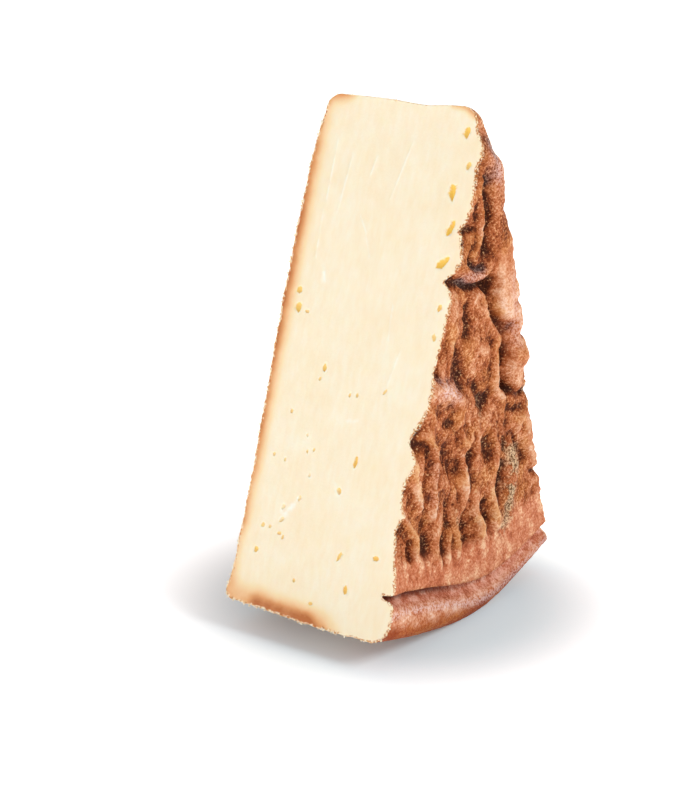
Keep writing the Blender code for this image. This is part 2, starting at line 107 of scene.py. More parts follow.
# Swells of the wrinkled side: height, half width, flatness of the top, then points along the crest, each
# as its distance down from the tip and across from the middle
SWELLS = (
    (3.6, 6.5, 3.5, (
        (13, 1), (22, 4.5), (32, 6), (42, 8), (52, 12), (62, 15), (72, 18), (82, 21), (88, 23.5),
    )),
    (1.9, 4.2, 2.6, ((90, 23.5), (97, 26), (104, 27))),
    (1.3, 2.6, 2, ((17, -4), (27, -7), (33, -10))),
    (1.8, 1.5, 1.7, ((24, -5), (31, -3.3), (39, -3.3), (45, -4.2), (49, -8))),
    (1.0, 2.4, 2, ((43, -9), (47, -12))),
    (1.5, 2.1, 2, ((49.5, -15), (52.5, -13), (55, -9), (57, -4), (56.5, 1), (53.5, 3.5), (50.5, 2.5))),
    (0.8, 1.6, 2, ((48.5, -11), (50.5, -8))),
    (2.0, 2.4, 2.2, (
        (64, 2), (68, 0.5), (72, 3.5), (76, 7.5), (81, 11.5),
        (86, 12), (92, 11), (96, 10.5), (100, 13.5), (104, 18.5),
    )),
    (1.2, 2.6, 2, ((63.5, -18), (75.5, -17.5), (84, -22), (91, -23.5))),
    (1.0, 2.4, 2, ((64, -4.5), (72, -2.5), (77, 2))),
    (1.2, 3.0, 2, ((79, -8), (82, 0), (85, 6))),
    (2.4, 3.4, 2.4, ((92, -26.5), (94, -21.5), (96, -15.5), (100, -11.5), (105, -11.5))),
    (1.4, 3.0, 2, ((98, -30), (103, -27), (106, -22), (109, -16))),
    (2.4, 1.9, 1.6, ((106, -30), (111, -27), (117, -25), (128, -25), (137, -25))),
    (1.8, 2.2, 1.8, ((115, -37), (122.5, -36), (130.5, -32))),
    (1.9, 1.7, 1.6, ((131.5, -42), (137, -38.5), (142.5, -35), (150, -35))),
    (1.7, 1.8, 1.8, ((111, -9), (113.5, -7.5), (116.5, -4))),
    (1.6, 1.9, 1.8, ((112, 1), (117.5, 2), (123, 3.5))),
    (1.4, 2.0, 1.8, ((117, 13), (123.5, 16), (130, 15.5))),
    (1.6, 2.2, 1.8, ((127, -4.5), (134, -3.5), (139, -6))),
    (1.3, 3.6, 2.5, ((134, 26), (143, 26))),
    (1.9, 3.0, 2.2, ((118, 28), (114, 31.5), (120, 35.5), (128, 38.5), (135, 41))),
    (1.2, 3.0, 2, ((143, 43), (148, 46))),
    (1.6, 2.0, 1.8, ((137, 3), (144, 4), (152, 5))),
    (1.4, 2.0, 1.8, ((138, 14), (146, 15.5), (154, 15))),
    (1.4, 2.0, 1.8, ((140, -11), (147, -9.5), (156, -10.5))),
    (1.2, 2.2, 1.8, ((138.5, -21), (146.5, -22), (153, -21))),
    (1.4, 1.8, 2, ((146, -14), (158, -15))),
    (1.3, 1.8, 2, ((148, -9.7), (157, -9.3))),
    (1.6, 2.4, 2, ((148, 5.5), (160, 8.5))),
    (1.5, 2.0, 2, ((143, 17.5), (153, 19))),
)

LOBE = SWELLS[0][3] + SWELLS[1][3]  # the large smooth swell, on which the puckers are faint
LOBE_WIDTH = 7.0

# Hollows and creases between them: depth, half width, flatness of the floor, then points along the floor
HOLLOWS = (
    (2.2, 3.0, 2, ((10.5, 4), (14.5, 5))),
    (1.1, 3.5, 2, ((28, 9.5), (36, 12.5))),
    (0.7, 2.0, 2, ((33, -7), (36, -6.5))),
    (1.5, 1.5, 2, ((39, -13), (40, -8))),
    (2.3, 2.0, 2, ((25, -1.5), (31, -0.3), (38, 0), (45, 0.5), (50, 2))),
    (2.2, 1.6, 1.6, ((50, -10), (53, -6), (54.5, -2), (54, 0.5))),
    (3.4, 1.7, 1.6, ((55.4, -20), (57, -14), (59.5, -8), (61, -2), (61, 4))),
    (4.3, 2.8, 1.9, (
        (61, 6), (66, 5), (71, 7.5), (75, 11), (79.5, 15),
        (84, 16), (91, 15.5), (95, 15), (99, 18), (103, 22),
    )),
    (1.9, 2.1, 2, ((66.5, -9), (76, -8))),
    (1.6, 2.2, 2, ((79, -15), (82, -14))),
    (3.0, 4.2, 2.6, ((89, -12), (91, -10))),
    (2.2, 3.2, 2.4, ((95, -2), (97, 0))),
    (3.0, 3.8, 2.6, ((102, 5), (104, 7))),
    (1.6, 1.8, 2, ((86, -26), (88, -25))),
    (1.6, 2.6, 2, ((105.5, -19), (106.5, -16))),
    (2.6, 3.5, 2.4, ((106.5, -36), (110, -31))),
    (2.8, 4.2, 2.4, ((116, -16), (121, -14), (124, -10))),
    (1.2, 3.0, 2.2, ((122, -39), (128, -38))),
    (1.0, 2.8, 2.2, ((138, -42), (146, -41))),
    (1.8, 1.2, 1.8, ((142.5, -37.6), (149, -37.2))),
    (1.9, 2.8, 2, ((121, -1), (132, 0.5))),
    (1.9, 3.2, 2, ((119, 9), (124, 11))),
    (2.2, 2.2, 2, ((122, 22), (124, 23))),
    (2.4, 2.3, 2, ((130, 21.5), (137, 20.5), (143, 19))),
    (1.5, 2.0, 2, ((119, 25), (125, 31), (133, 35))),
    (1.2, 1.4, 2, ((137, 39), (139, 47))),
    (2.3, 2.4, 2, ((142, 9.5), (149, 10.5))),
    (2.0, 3.6, 2, ((144, -2.5), (154, -2))),
    (1.3, 2.8, 2, ((134, -14.5), (144, -14))),
    (1.9, 3.4, 2, ((140, -29), (147, -28))),
    (1.7, 1.7, 2, ((147, -18), (157, -17.5))),
    (1.8, 2.4, 2, ((148, -3), (158, -1.5))),
    (1.7, 2.2, 2, ((149, 12), (157, 13.5))),
    (1.5, 2.0, 2, ((147, -28), (152, -27))),
    (2.0, 2.0, 2, ((97, 17), (102, 22), (105, 27), (106, 33))),
    (1.4, 2.0, 2, ((110, 24), (112, 32))),
    (1.4, 1.4, 2, ((35, 10), (36, 14))),
    (1.2, 1.4, 2, ((69, 20), (69.5, 26))),
    (1.2, 1.4, 2, ((81.5, 24), (82, 30))),
)

# Unevenness: the strokes' wander, the wrinkles that run down the side, and the puckers between them
WANDER = 1.1
WANDER_SIZE = 8.0
WANDER_SEED = 41
FRAY = 0.4
FRAY_SIZE = 2.7
WRINKLE_HEIGHT = 0.5
WRINKLE_WIDTH = 8.0
WRINKLE_LENGTH = 24.0
WRINKLE_SWAY = 0.4
WRINKLE_SWAY_SIZE = 15.0
WRINKLE_SHARPNESS = 2.4
PUCKER_HEIGHT = 0.8
PUCKER_SIZE = 5.0
PUCKER_STRETCH = 1.2
PUCKER_FLOOR = 0.3
LOBE_CALM = 0.8  # how much fainter the puckers are on the lobe
CLOTH_HEIGHT = 0.35  # unevenness of the flat side and of the heel
CLOTH_SIZE = 14.0

# Radii between which each of these comes in, from the tip
TIP_FADE = (5, 15)  # all relief of the wrinkled side
WRINKLE_FADE = (20, 90)
PUCKER_FADE = (15, 45)
TILT_FADE = (60, 130)
GRAIN_FADE = (4, 14)
FLAT_FADE = (8, 30)
CRINKLE_FADE = (8, 20)
HEEL_REACH = 12.0  # how far from the heel its belly and line are felt
TIP_DIP_REACH = 14.0

# The finer mesh: turn columns across the wedge, halved towards the tip, and steps along the section
COLUMNS = 192
CUT_CROWDING = 0.55  # how much closer the columns lie at the cuts than midway
COARSE_RADII = (91.0, 45.0, 23.0)  # under each of these every second column is dropped
FINE_STEP = 0.5
FLAT_STEP = 1.5
HEEL_STEP = 1.1
RIM_STEPS = 22
CORNER_STEPS = 9
CAP_ROWS = (0.3, 0.7, 1.2, 1.8)  # distances of the rows of points inside a cut's edge
FRONT_SPACING = 1.15
BACK_SPACING = 1.5

# Grain of the rind, and the crumbled edge of each cut
GRAIN = ((1.7, 0.16), (0.8, 0.09))  # size and height
CRINKLE_HEIGHT = 0.7  # of the small creases, which run down the wrinkled side
CRINKLE_LENGTH = 4.2
CRINKLE_WIDTH = 2.6
CRINKLE_FLOOR = 0.3
CRINKLE_CALM = 0.75  # how much fainter they are on the lobe
CRINKLE_SEED = 51
DIP_REACH = 2.4  # how far away a point's surroundings are taken for its dip
DIP_RANGE = 0.8
SMOOTH_GRAIN = ((2.6, 0.10), (1.2, 0.05))  # the same on the flat side and on the heel
CRUMBLE_REACH = 1.2  # how far from a cut the rind is ragged
CRUMBLE = ((3.1, 0.28), (1.3, 0.24))
MOULD_CRUST = (1.1, 0.7)  # size and height of the crusts of mould

# Eyes of the front cut: down along the cut, across the wheel, half length, half width, lean, depth
EYES = (
    (9, 26.8, 2.1, 1.0, 8, 1.6),
    (20, 29.6, 1.5, 0.8, 20, 1.2),
    (29.5, 25.4, 2.8, 1.2, -10, 1.8),
    (41.2, 27.5, 2.9, 1.0, 20, 1.8),
    (53, 26.8, 2.9, 1.4, 50, 2.0),
    (68, 29, 1.3, 0.8, 10, 1.2),
    (78, 29, 1.4, 0.7, -15, 0.9),
    (70, -28.2, 1.3, 1.1, 0, 1.2),
    (76, -27.2, 1.9, 1.1, -10, 1.4),
    (77, -23.2, 0.6, 0.9, 10, 0.8),
    (95, -11.8, 1.4, 0.8, -5, 1.2),
    (99, -12.8, 0.8, 0.5, 20, 0.7),
    (102, 3.6, 0.8, 0.5, 0, 0.9),
    (102.5, 0.6, 0.8, 0.5, 10, 0.8),
    (99, 14.2, 1.2, 0.5, 30, 0.8),
    (112, -21.8, 0.8, 0.6, 0, 0.7),
    (124.5, 7.8, 2.2, 0.8, 5, 1.5),
    (124.5, -12.3, 0.7, 0.5, 0, 0.7),
    (128, -25.8, 0.8, 0.6, 0, 0.7),
    (129, -20.8, 0.7, 0.6, 0, 0.6),
    (135.3, 3.5, 1.3, 0.9, -35, 1.2),
    (141, -11.9, 1.0, 0.6, 15, 0.9),
    (145.2, -17.8, 1.1, 0.6, 30, 0.9),
    (149.6, -17.6, 1.2, 0.7, 35, 1.0),
    (154.5, -17.5, 0.7, 0.9, 0, 0.8),
    (123.4, -9.6, 0.7, 0.5, 10, 0.7),
    (119, -13.4, 0.7, 0.5, 0, 0.6),
    (132.4, -9.4, 0.7, 0.5, 0, 0.6),
    (153, -24.8, 0.9, 0.8, 0, 0.8),
    (153, -21.8, 0.7, 0.6, 0, 0.6),
    (154.4, 23, 0.9, 1.2, 0, 1.4),
    (155.5, -15.8, 0.9, 0.5, 10, 0.8),
    (157, 8.5, 1.8, 0.7, 20, 1.1),
    (162, -25.8, 1.2, 0.9, 10, 1.2),
    (167.4, 13.4, 1.6, 0.8, -5, 1.4),
    (169, -7.8, 0.8, 0.6, 0, 0.8),
    (175.2, 0.6, 0.7, 0.8, 0, 0.9),
)
EYE_RINGS = ((0.35, 6), (0.65, 9), (0.84, 13), (0.94, 17), (1.0, 19), (1.05, 20), (1.15, 18))
EYE_RAGGED = 0.22
EYE_DEPTH = 0.55
EYE_GOLD = (0.3, 0.4)  # how amber an eye is at least, and how much more for each millimetre of its depth
EYE_SOFTNESS = 15.0
EYE_LIP = 0.25  # height of the lip on an eye's lower right, where the knife dragged; it is also painted pale as a highlight
EYE_LIP_PLACE = 1.1
EYE_LIP_WIDTH = 0.12
EYE_SEED = 7  # for the cut face at the back
BACK_EYES_DOWN = (20, WHEEL_RADIUS - 25)
BACK_EYES_ACROSS = (9 - WHEEL_HEIGHT / 2, WHEEL_HEIGHT / 2 - 12)
BACK_EYES_LEAN = (-30, 30)

# Drag marks of the knife on the front cut: the first and last point of each, down and across
DRAGS = (
    ((14.7, 6.6), (34, 2)),
    ((21.2, -6.6), (26.9, -7.8)),
    ((17.3, -23.8), (37.1, -23.9)),
    ((21.2, -16.6), (40.3, -18.5)),
    ((41.5, -24.4), (57.5, -24)),
    ((42, -8.3), (46.7, -5.4)),
    ((47.8, -5), (54.6, -2.3)),
    ((61.2, -19.7), (65.2, -18.4)),
    ((70, 10.9), (81.2, 11.5)),
    ((85.5, 16.9), (96.1, 14.8)),
)
DRAG_HEIGHT = 0.16
DRAG_WIDTH = 0.35
DRAG_STEP = 1.3

# Unevenness of the cuts: size down, size across, height and seed, and the roughness near their edges
CUT_WAVES = ((26, 7, 0.16, 5), (9, 2.2, 0.05, 6))
CUT_ROUGH = 0.10
CUT_ROUGH_SIZE = 0.9
CUT_ROUGH_REACH = 1.2
CUT_EVEN_EDGE = 1.5  # how far from its edge a cut's unevenness is at its full height

# What the materials read from each point of the mesh
MARKS = (
    "hollow", "crest", "dip", "groove", "line", "belt", "rim", "plain", "flat", "tip", "mould", "bloom",
    "edge", "eye", "drag", "warm",
)

# Patches on the wrinkled side: strength, half width, flatness, then points down from the tip and across
MOULD = (
    (0.9, 4.2, 3, ((127, 27.5), (133, 28.5), (139, 26.5))),
    (0.8, 3.0, 2.5, ((144, 26), (150, 25.5), (154.5, 21))),
    (0.7, 1.8, 2, ((138, -9), (143, -9))),
    (0.6, 1.8, 2, ((104, 4), (107, 4))),
)
# Painted sheen on crests: strength, half width, flatness, then points down from the tip and across
SHEEN_STROKES = (
    (0.7, 4.0, 2, ((14, 3), (22, 4.5))),
    (0.5, 2.5, 2, ((56, -10), (57, 0))),
    (0.9, 3.0, 2, ((92, -24), (95, -15))),
    (0.4, 3.0, 2, ((60, 16), (84, 22))),
    (0.2, 1.6, 2, ((118, -25), (132, -25))),
)

# Painted shade where the large swells are duller than the other crests, and painted highlight where a
# strength is below zero
SWELL_PAINTED_SHADE = (
    (0.55, 5.0, 3, ((9, -3), (20, 1))),
    (0.90, 5.0, 3, ((24, 1.5), (32, 3), (44, 7))),
    (0.70, 2.6, 2, ((49, -14), (54, -10), (57, -4), (56.5, 1), (53.5, 3.5), (50.5, 2.5))),
    (0.80, 2.4, 2, ((112, -27), (120, -26), (130, -26))),
    (0.40, 3.0, 2, ((90, 20), (98, 23), (104, 25))),
    (-0.80, 3.0, 2, ((72, 13), (82, 16))),
    (-0.60, 3.6, 2, ((128, -10), (135, -4), (140, 4))),
    (-0.45, 3.0, 2, ((104, -36), (109, -31))),
)

# Depth and height at which the strokes are at their darkest and palest: partly the rind's own tone, partly
# painted shade and highlight
HOLLOW_FULL = 2.6
CREST_FULL = 2.4
TIP_PAINTED_SHADE = 0.4  # painted shade: how much darker the wrinkled side is made near the tip, where the light from above falls most strongly
TIP_PAINTED_SHADE_RADII = (80, 30)

# The fold's floor, the dark line in it, a painted shadow under the lip, the pale belt above it and the rim
# below it, by radius
GROOVE_INNER = (-1.6, 0.4)  # from the fold's middle
GROOVE_OUTER = (5.4, 3.4)
LIP_SHADOW_SHIFT = 0.4
LIP_SHADOW_WIDTH = 1.5
LIP_SHADOW_TURNS = (0.02, -0.16)  # the painted shadow comes in towards the front cut
BELT_INNER = (151, 157)
BELT_OUTER = (-1, -3.5)  # from the fold's middle
BELT_RAGGED = 3.0
BELT_PAINTED_LIGHT = 0.3  # painted light: how much paler the belt is away from the front cut, which shades it nearer
BELT_PAINTED_LIGHT_ACROSS = (-28, 4)
RIM_INNER = (3, 5)  # from the fold's middle
# Place from the fold's middle, width and strength of the painted sheen along the rim's crest
RIM_CREST = 6.3
RIM_CREST_WIDTH = 1.3
RIM_SHEEN = 0.8

# Pale cracks of the cut: strength, half width, flatness, then points down along it and across
CRACKS = (
    (0.9, 0.9, 3, ((141.5, -12.5), (144.5, -14.5), (147, -16), (149.5, -18.2))),
    (0.7, 0.6, 3, ((144, -17.6), (147, -18.6))),
    (0.6, 0.9, 2, ((61, -20), (65.5, -19))),
    (0.6, 0.4, 2, ((111.5, 1.2), (111, 3.6), (110.4, 6))),
    (0.5, 0.5, 2, ((133, 1), (135, 2.4), (136.5, 3.6))),
    (0.5, 0.5, 2, ((132, -9.6), (133.5, -9))),
    (0.4, 0.4, 2, ((118, -14), (119.5, -13))),
)
CRACK_FRAY = 0.4
PALE_MARK_AND_HIGHLIGHT_SHARE = 0.6  # how much a drag mark, and the painted highlight on an eye's lip, shows beside a crack

# Brown stretches of the cut: strength, half width, flatness, then points down along the cut and across
WARM = (
    (1.0, 4.2, 2, ((-2.5, -24), (-1.5, -32), (5, -36), (60, -35.8), (90, -36), (135, -36.4), (152, -38))),
    (0.22, 7.5, 2, ((0, -34), (60, -36.5), (150, -38))),
    (0.5, 1.6, 2, ((0, 20), (0.5, 25), (3, 29))),
    (0.45, 4.0, 2, ((152, -36), (180, -36))),
    (0.20, 9.0, 2, ((182, -30), (184, 6))),
    (1.0, 4.0, 2, ((181.8, -20), (182.4, -11), (182.8, -1))),
    (0.30, 5.0, 2, ((181.5, -27), (183, -14), (183, 6))),
    (0.30, 3.0, 2, ((184, -2), (185.5, 12))),
)


def tone(red, green, blue):
    """A colour given as seen on a screen, 0 to 255, in the linear values that shaders take."""
    parts = [value / 255 for value in (red, green, blue)]
    return [p / 12.92 if p <= 0.04045 else ((p + 0.055) / 1.055) ** 2.4 for p in parts] + [1.0]


def tones(*stops):
    """The stops of a colour ramp, each given as its place and a colour as seen on a screen."""
    return [(place, tone(*colour)) for place, *colour in stops]


RIND_TONES = tones(
    (0.00, 66, 24, 4),
    (0.18, 104, 44, 12),
    (0.38, 154, 78, 36),
    (0.54, 186, 106, 62),
    (0.70, 210, 140, 98),
    (0.85, 228, 174, 138),
    (1.00, 242, 208, 184),
)
RIND_GOLD = tones(
    (0.00, 56, 22, 5),
    (0.30, 120, 58, 18),
    (0.60, 192, 114, 50),
    (1.00, 240, 184, 110),
)
BELT_TONES = tones(
    (0.34, 150, 70, 39),
    (0.46, 192, 105, 67),
    (0.56, 216, 140, 101),
    (0.66, 244, 200, 160),
)
RIM_TONES = tones(
    (0.32, 156, 74, 36),
    (0.44, 202, 118, 74),
    (0.56, 230, 170, 136),
    (0.68, 250, 222, 200),
)
PLAIN_TONES = tones(
    (0.30, 128, 48, 12),
    (0.48, 168, 74, 24),
    (0.70, 222, 138, 72),
)
FLAT_TONES = tones(
    (0.34, 128, 70, 40),
    (0.46, 168, 104, 66),
    (0.56, 204, 144, 102),
    (0.66, 234, 190, 154),
)
GROOVE_TONES = tones(
    (0.34, 150, 76, 50),
    (0.47, 202, 118, 88),
    (0.60, 240, 186, 164),
)
PASTE_TONES = tones(
    (0.30, 251, 230, 194),
    (0.50, 253, 236, 206),
    (0.70, 254, 242, 218),
)
WARM_TONES = tones(
    (0.00, 252, 232, 196),
    (0.18, 250, 222, 176),
    (0.38, 242, 196, 144),
    (0.62, 226, 158, 98),
    (1.00, 190, 108, 48),
)
CRUST_TONES = tones(
    (0.36, 184, 106, 48),
    (0.47, 220, 158, 92),
    (0.56, 255, 236, 204),
)
CRUMB_TONES = tones(
    (0.30, 244, 204, 152),
    (0.55, 255, 242, 214),
)
PALE_GRAIN = tone(236, 188, 134)
# painted shadow under the fold's lip
LIP_SHADOW_TONE = tone(92, 32, 14)
MOULD_TONE = tone(220, 188, 148)
MOULD_SPECK = tone(100, 70, 44)
# painted sheen on crests and on the rim's crest
SHEEN_TONE = tone(236, 208, 204)
EYE_TONE = tone(255, 208, 92)
# drag marks and cracks, and the painted highlight on the eyes' lips
PALE_MARK_AND_HIGHLIGHT_TONE = tone(255, 252, 240)
FLOOR_TONE = tone(240, 240, 241)
FLOOR_TONE_NEAR = tone(214, 238, 248)  # against the warm light that the cheese throws on it
FLOOR_NEAR = (0.04, 0.085)
USUAL_GRAIN = (0.3, 0.7)  # between which nearly all values of a grain lie

# Crumbs on the front cut's edge: their number, and their sizes before they are raised to a power
CRUMBS = 420
CRUMB_SIZES = (0.25, 0.52)
CRUMB_POWER = 1.5
CRUMB_SPREAD = 0.4  # how far they lie from the edge
CRUMB_STRETCH = (0.6, 1.3)
CRUMB_SUNK = (-0.3, 0.15)
CRUMB_RAGGED = 0.35
CRUMB_SEED = 11
CRUMBS_LOW, CRUMBS_LEFT, CRUMBS_RIGHT = 1.3, 1.2, 0.12  # how thickly they lie along each stretch
CRUMBS_TIP = 0.25

# Floor and lights
FLOOR_SIZE = 20.0
FLOOR_GAP = 0.0002
FLOOR_GLOW = (0.14, 0.9)  # beside the wedge, and far from it
FLOOR_GLOW_REACH = (0.045, 0.115)
LIT_PLACE = (0, 0, 0.09)
KEY_PLACE, KEY_SIZE, KEY_POWER = (1.7, 0.2, 1.6), 0.9, 23
FILL_PLACE, FILL_SIZE, FILL_POWER = (-0.7, -1.1, 0.5), 0.9, 4.1
FRONT_PLACE, FRONT_SIZE, FRONT_POWER = (0.5, -1.3, 0.5), 0.9, 1
BACKGROUND_LIGHT = 0.36

# Camera, fitted to the wedge's corners
CAMERA_TURN = 34.631
CAMERA_RISE = 16.937
CAMERA_ROLL = 0.6516
CAMERA_DISTANCE = 0.65
CAMERA_LENS = 82.03
CAMERA_SENSOR = 36.0
AIM_SIDE = -0.0176
AIM_HEIGHT = 0.07619


def lattice(column, row, seed):
    """A repeatable angle for each whole-number point of a grid."""
    mixed = (column * 374761393 + row * 668265263 + seed * 974634777) & 0xFFFFFFFF
    mixed = ((mixed ^ (mixed >> 13)) * 1274126177) & 0xFFFFFFFF
    return ((mixed ^ (mixed >> 16)) & 0xFFFF) / 65536 * 2 * math.pi


def noise(u, v, seed):
    """Smooth gradient noise of two coordinates, about -1 to 1."""
    column, row = np.floor(u).astype(np.int64), np.floor(v).astype(np.int64)
    fu, fv = u - column, v - row
    su, sv = (f * f * f * (f * (f * 6 - 15) + 10) for f in (fu, fv))
    corners = []
    for down in (0, 1):
        for right in (0, 1):
            angle = lattice(column + right, row + down, seed)
            corners.append(np.cos(angle) * (fu - right) + np.sin(angle) * (fv - down))
    upper = corners[0] + (corners[1] - corners[0]) * su
    lower = corners[2] + (corners[3] - corners[2]) * su
    return (upper + (lower - upper) * sv) * 1.5


def smooth_step(low, high, value):
    t = np.clip((value - low) / (high - low), 0, 1)
    return t * t * (3 - 2 * t)


def through(stops, heights, value):
    """A smooth curve through a few heights."""
    stops, heights = np.array(stops, float), np.array(heights, float)
    slopes = np.gradient(heights, stops)
    span = np.clip(np.searchsorted(stops, value) - 1, 0, len(stops) - 2)
    width = stops[span + 1] - stops[span]
    t = np.clip((value - stops[span]) / width, 0, 1)
    start = heights[span] * (1 + 2 * t) + slopes[span] * width * t
    end = heights[span + 1] * (3 - 2 * t) - slopes[span + 1] * width * (1 - t)
    return start * (1 - t) ** 2 + end * t**2


def distance_to_line(down, across, points):
    """Distance of each place from a chain of straight runs."""
    nearest = np.full(np.shape(down), np.inf)
    for (d0, a0), (d1, a1) in zip(points, points[1:]):
        step = np.array([d1 - d0, a1 - a0], float)
        along = np.clip(((down - d0) * step[0] + (across - a0) * step[1]) / (step @ step), 0, 1)
        gap = np.hypot(down - d0 - along * step[0], across - a0 - along * step[1])
        nearest = np.minimum(nearest, gap)
    return nearest


def strokes(down, across, table):
    """Total height of a table of strokes at each place."""
    total = np.zeros(np.shape(down))
    for height, half_width, flatness, points in table:
        gap = distance_to_line(down, across, points)
        total += height * np.exp(-((gap / half_width) ** flatness))
    return total


def down_across(radius, turn):
    """Distance down from the tip and across from the middle."""
    return radius * np.cos(turn), radius * np.sin(turn)


def on_lobe(down, across):
    """How far each place lies on the large smooth swell, 0 to 1."""
    return strokes(down, across, ((1, LOBE_WIDTH, 3, LOBE),))


def wander(down, across, seed):
    wide = WANDER * noise(down / WANDER_SIZE, across / WANDER_SIZE, seed)
    return wide + FRAY * noise(down / FRAY_SIZE, across / FRAY_SIZE, seed + 2)


def wandered(down, across, seed):
    """Each place pushed aside a little, so that no stroke runs straight."""
    return down + wander(down, across, seed), across + wander(down, across, seed + 1)


def wrinkles(radius, turn):
    """Height of the swells, hollows and puckers of the wrinkled side."""
    down, across = down_across(radius, turn)
    d, a = wandered(down, across, WANDER_SEED)
    height = strokes(d, a, SWELLS) - strokes(d, a, HOLLOWS)
    sway = WRINKLE_SWAY * noise(down / WRINKLE_SWAY_SIZE, across / WRINKLE_SWAY_SIZE, 3)
    fan = turn * np.sqrt(radius * WHEEL_RADIUS) / WRINKLE_WIDTH + sway
    ridge = 1 - WRINKLE_SHARPNESS * np.abs(noise(fan, radius / WRINKLE_LENGTH, 5))
    height += WRINKLE_HEIGHT * smooth_step(*WRINKLE_FADE, radius) * ridge
    pucker = np.abs(noise(d / PUCKER_SIZE, a / PUCKER_SIZE * PUCKER_STRETCH, 9)) - PUCKER_FLOOR
    calm = 1 - LOBE_CALM * on_lobe(d, a)
    height += PUCKER_HEIGHT * smooth_step(*PUCKER_FADE, radius) * pucker * calm
    return height * (1 - smooth_step(BELT_START, BELT_END, radius)) * smooth_step(*TIP_FADE, radius)


def fold_place(turn):
    """Radius, depth and outer width of the fold at an angle."""
    drift = smooth_step(FOLD_DRIFT_START, FOLD_DRIFT_END, turn)
    opened = smooth_step(-HALF_ANGLE, FOLD_OPEN_TURN, turn)
    middle = FOLD_RADIUS + FOLD_CUT_SHIFT * (1 - opened) + FOLD_DRIFT * drift
    depth = FOLD_DEPTH + (FOLD_BACK_DEPTH - FOLD_DEPTH) * drift
    width = FOLD_PINCHED_WIDTH + (FOLD_OPEN_WIDTH - FOLD_PINCHED_WIDTH) * opened
    return middle, depth, width


def fold(radius, turn):
    """Depth of the fold between the wrinkled skin and the rim."""
    middle, depth, outer_width = fold_place(turn)
    offset = radius - middle
    width = np.where(offset < 0, FOLD_INNER_WIDTH, outer_width)
    return depth * np.exp(-(np.abs(offset / width) ** FOLD_FLATNESS))


def wrinkled_side(radius, turn):
    """How far the wrinkled side lies under half the wheel's height."""
    tilted = smooth_step(*TILT_FADE, radius) * smooth_step(BELT_END, BELT_START, radius)
    tilt = SIDE_TILT * turn / HALF_ANGLE * tilted
    return through(SAG_RADII, SAG_DEPTHS, radius) - tilt + fold(radius, turn) - wrinkles(radius, turn)


def spaced(first, last, step):
    """Places between two ends, about this far apart."""
    return np.linspace(first, last, max(1, round(abs(last - first) / step)) + 1)[1:-1]


def quarter(centre, radii, start, steps):
    """Points (radius, axis) along a quarter of an ellipse, from an angle in degrees."""
    angles = np.radians(np.linspace(start, start + 90, steps + 1))
    return [(centre[0] + radii[0] * math.cos(a), centre[1] + radii[1] * math.sin(a)) for a in angles]


def section():
    """The wheel's closed section (radius, axis), from the tip along the flat side, the heel and the rim."""
    half = WHEEL_HEIGHT / 2
    flat_r, flat_x = TIP_ROUND_FLAT
    top_r, top_x = TIP_ROUND_WRINKLED
    corner_r, corner_x = HEEL_CORNER
    rim_r, rim_x = RIM_ROUND
    start, end = TIP_BLUNTNESS + flat_r, WHEEL_RADIUS - corner_r
    low, high = -half + corner_x, half - rim_x
    edge, top_end = WHEEL_RADIUS - rim_r, TIP_BLUNTNESS + top_r
    tip_low = quarter((start, -half + flat_x), TIP_ROUND_FLAT, 180, CORNER_STEPS)
    flat = [(r, -half) for r in spaced(start, end, FLAT_STEP)]
    corner = quarter((end, low), HEEL_CORNER, 270, CORNER_STEPS)
    heel = [(WHEEL_RADIUS, x) for x in spaced(low, high, HEEL_STEP)]
    rim = quarter((edge, high), RIM_ROUND, 0, RIM_STEPS)
    top = [(r, half) for r in spaced(edge, top_end, FINE_STEP)]
    tip_top = quarter((top_end, half - top_x), TIP_ROUND_WRINKLED, 90, CORNER_STEPS)
    tip = [(TIP_BLUNTNESS, x) for x in spaced(half - top_x, -half + flat_x, FLAT_STEP)]
    return np.array(tip_low + flat + corner + heel + rim + top + tip_top + tip)


def column_strides(points):
    """Of how many columns each point of the section keeps one: of more near the tip and on plain sides."""
    half = WHEEL_HEIGHT / 2
    halvings = sum((points[:, 0] < limit).astype(int) for limit in COARSE_RADII)
    plain = points[:, 1] < half - RIM_ROUND[1] - 1
    strides = 2 ** np.minimum(halvings + plain, len(COARSE_RADII))
    for _ in range(len(COARSE_RADII)):
        beside = np.minimum(np.roll(strides, 1), np.roll(strides, -1))
        strides = np.minimum(strides, 2 * beside)
    return strides


def column_turns():
    """Turns of the columns, which crowd towards both cuts."""
    t = np.linspace(-1, 1, COLUMNS + 1)
    return HALF_ANGLE * (t * (1 - CUT_CROWDING / 2) + CUT_CROWDING / 2 * np.sin(t * math.pi / 2))


def cloth(u, v, layers, seed):
    """Layers of noise, each with its size and height."""
    return sum(high * noise(u / size, v / size, seed + n) for n, (size, high) in enumerate(layers))


def crinkles(down, across):
    """Small creases between the wrinkles."""
    radius = np.hypot(down, across)
    d, a = wandered(down, across, CRINKLE_SEED)
    crease = np.abs(noise(d / CRINKLE_LENGTH, a / CRINKLE_WIDTH, 57))
    held = smooth_step(*CRINKLE_FADE, radius) * smooth_step(BELT_END, BELT_END - 5, radius)
    held = held * (1 - CRINKLE_CALM * on_lobe(down, across))
    return CRINKLE_HEIGHT * (np.minimum(crease, 0.5) - CRINKLE_FLOOR) * held


def dipped(radius, turn):
    """How far a point of the wrinkled side lies over its surroundings, -1 to 1."""
    down, across = down_across(radius, turn)
    own = wrinkles(radius, turn) + crinkles(down, across)
    around = 0
    for angle in np.radians(np.arange(0, 360, 60)):
        d, a = down + DIP_REACH * np.cos(angle), across + DIP_REACH * np.sin(angle)
        around = around + (wrinkles(np.hypot(d, a), np.arctan2(a, d)) + crinkles(d, a)) / 6
    return np.clip((own - around) / DIP_RANGE, -1, 1)


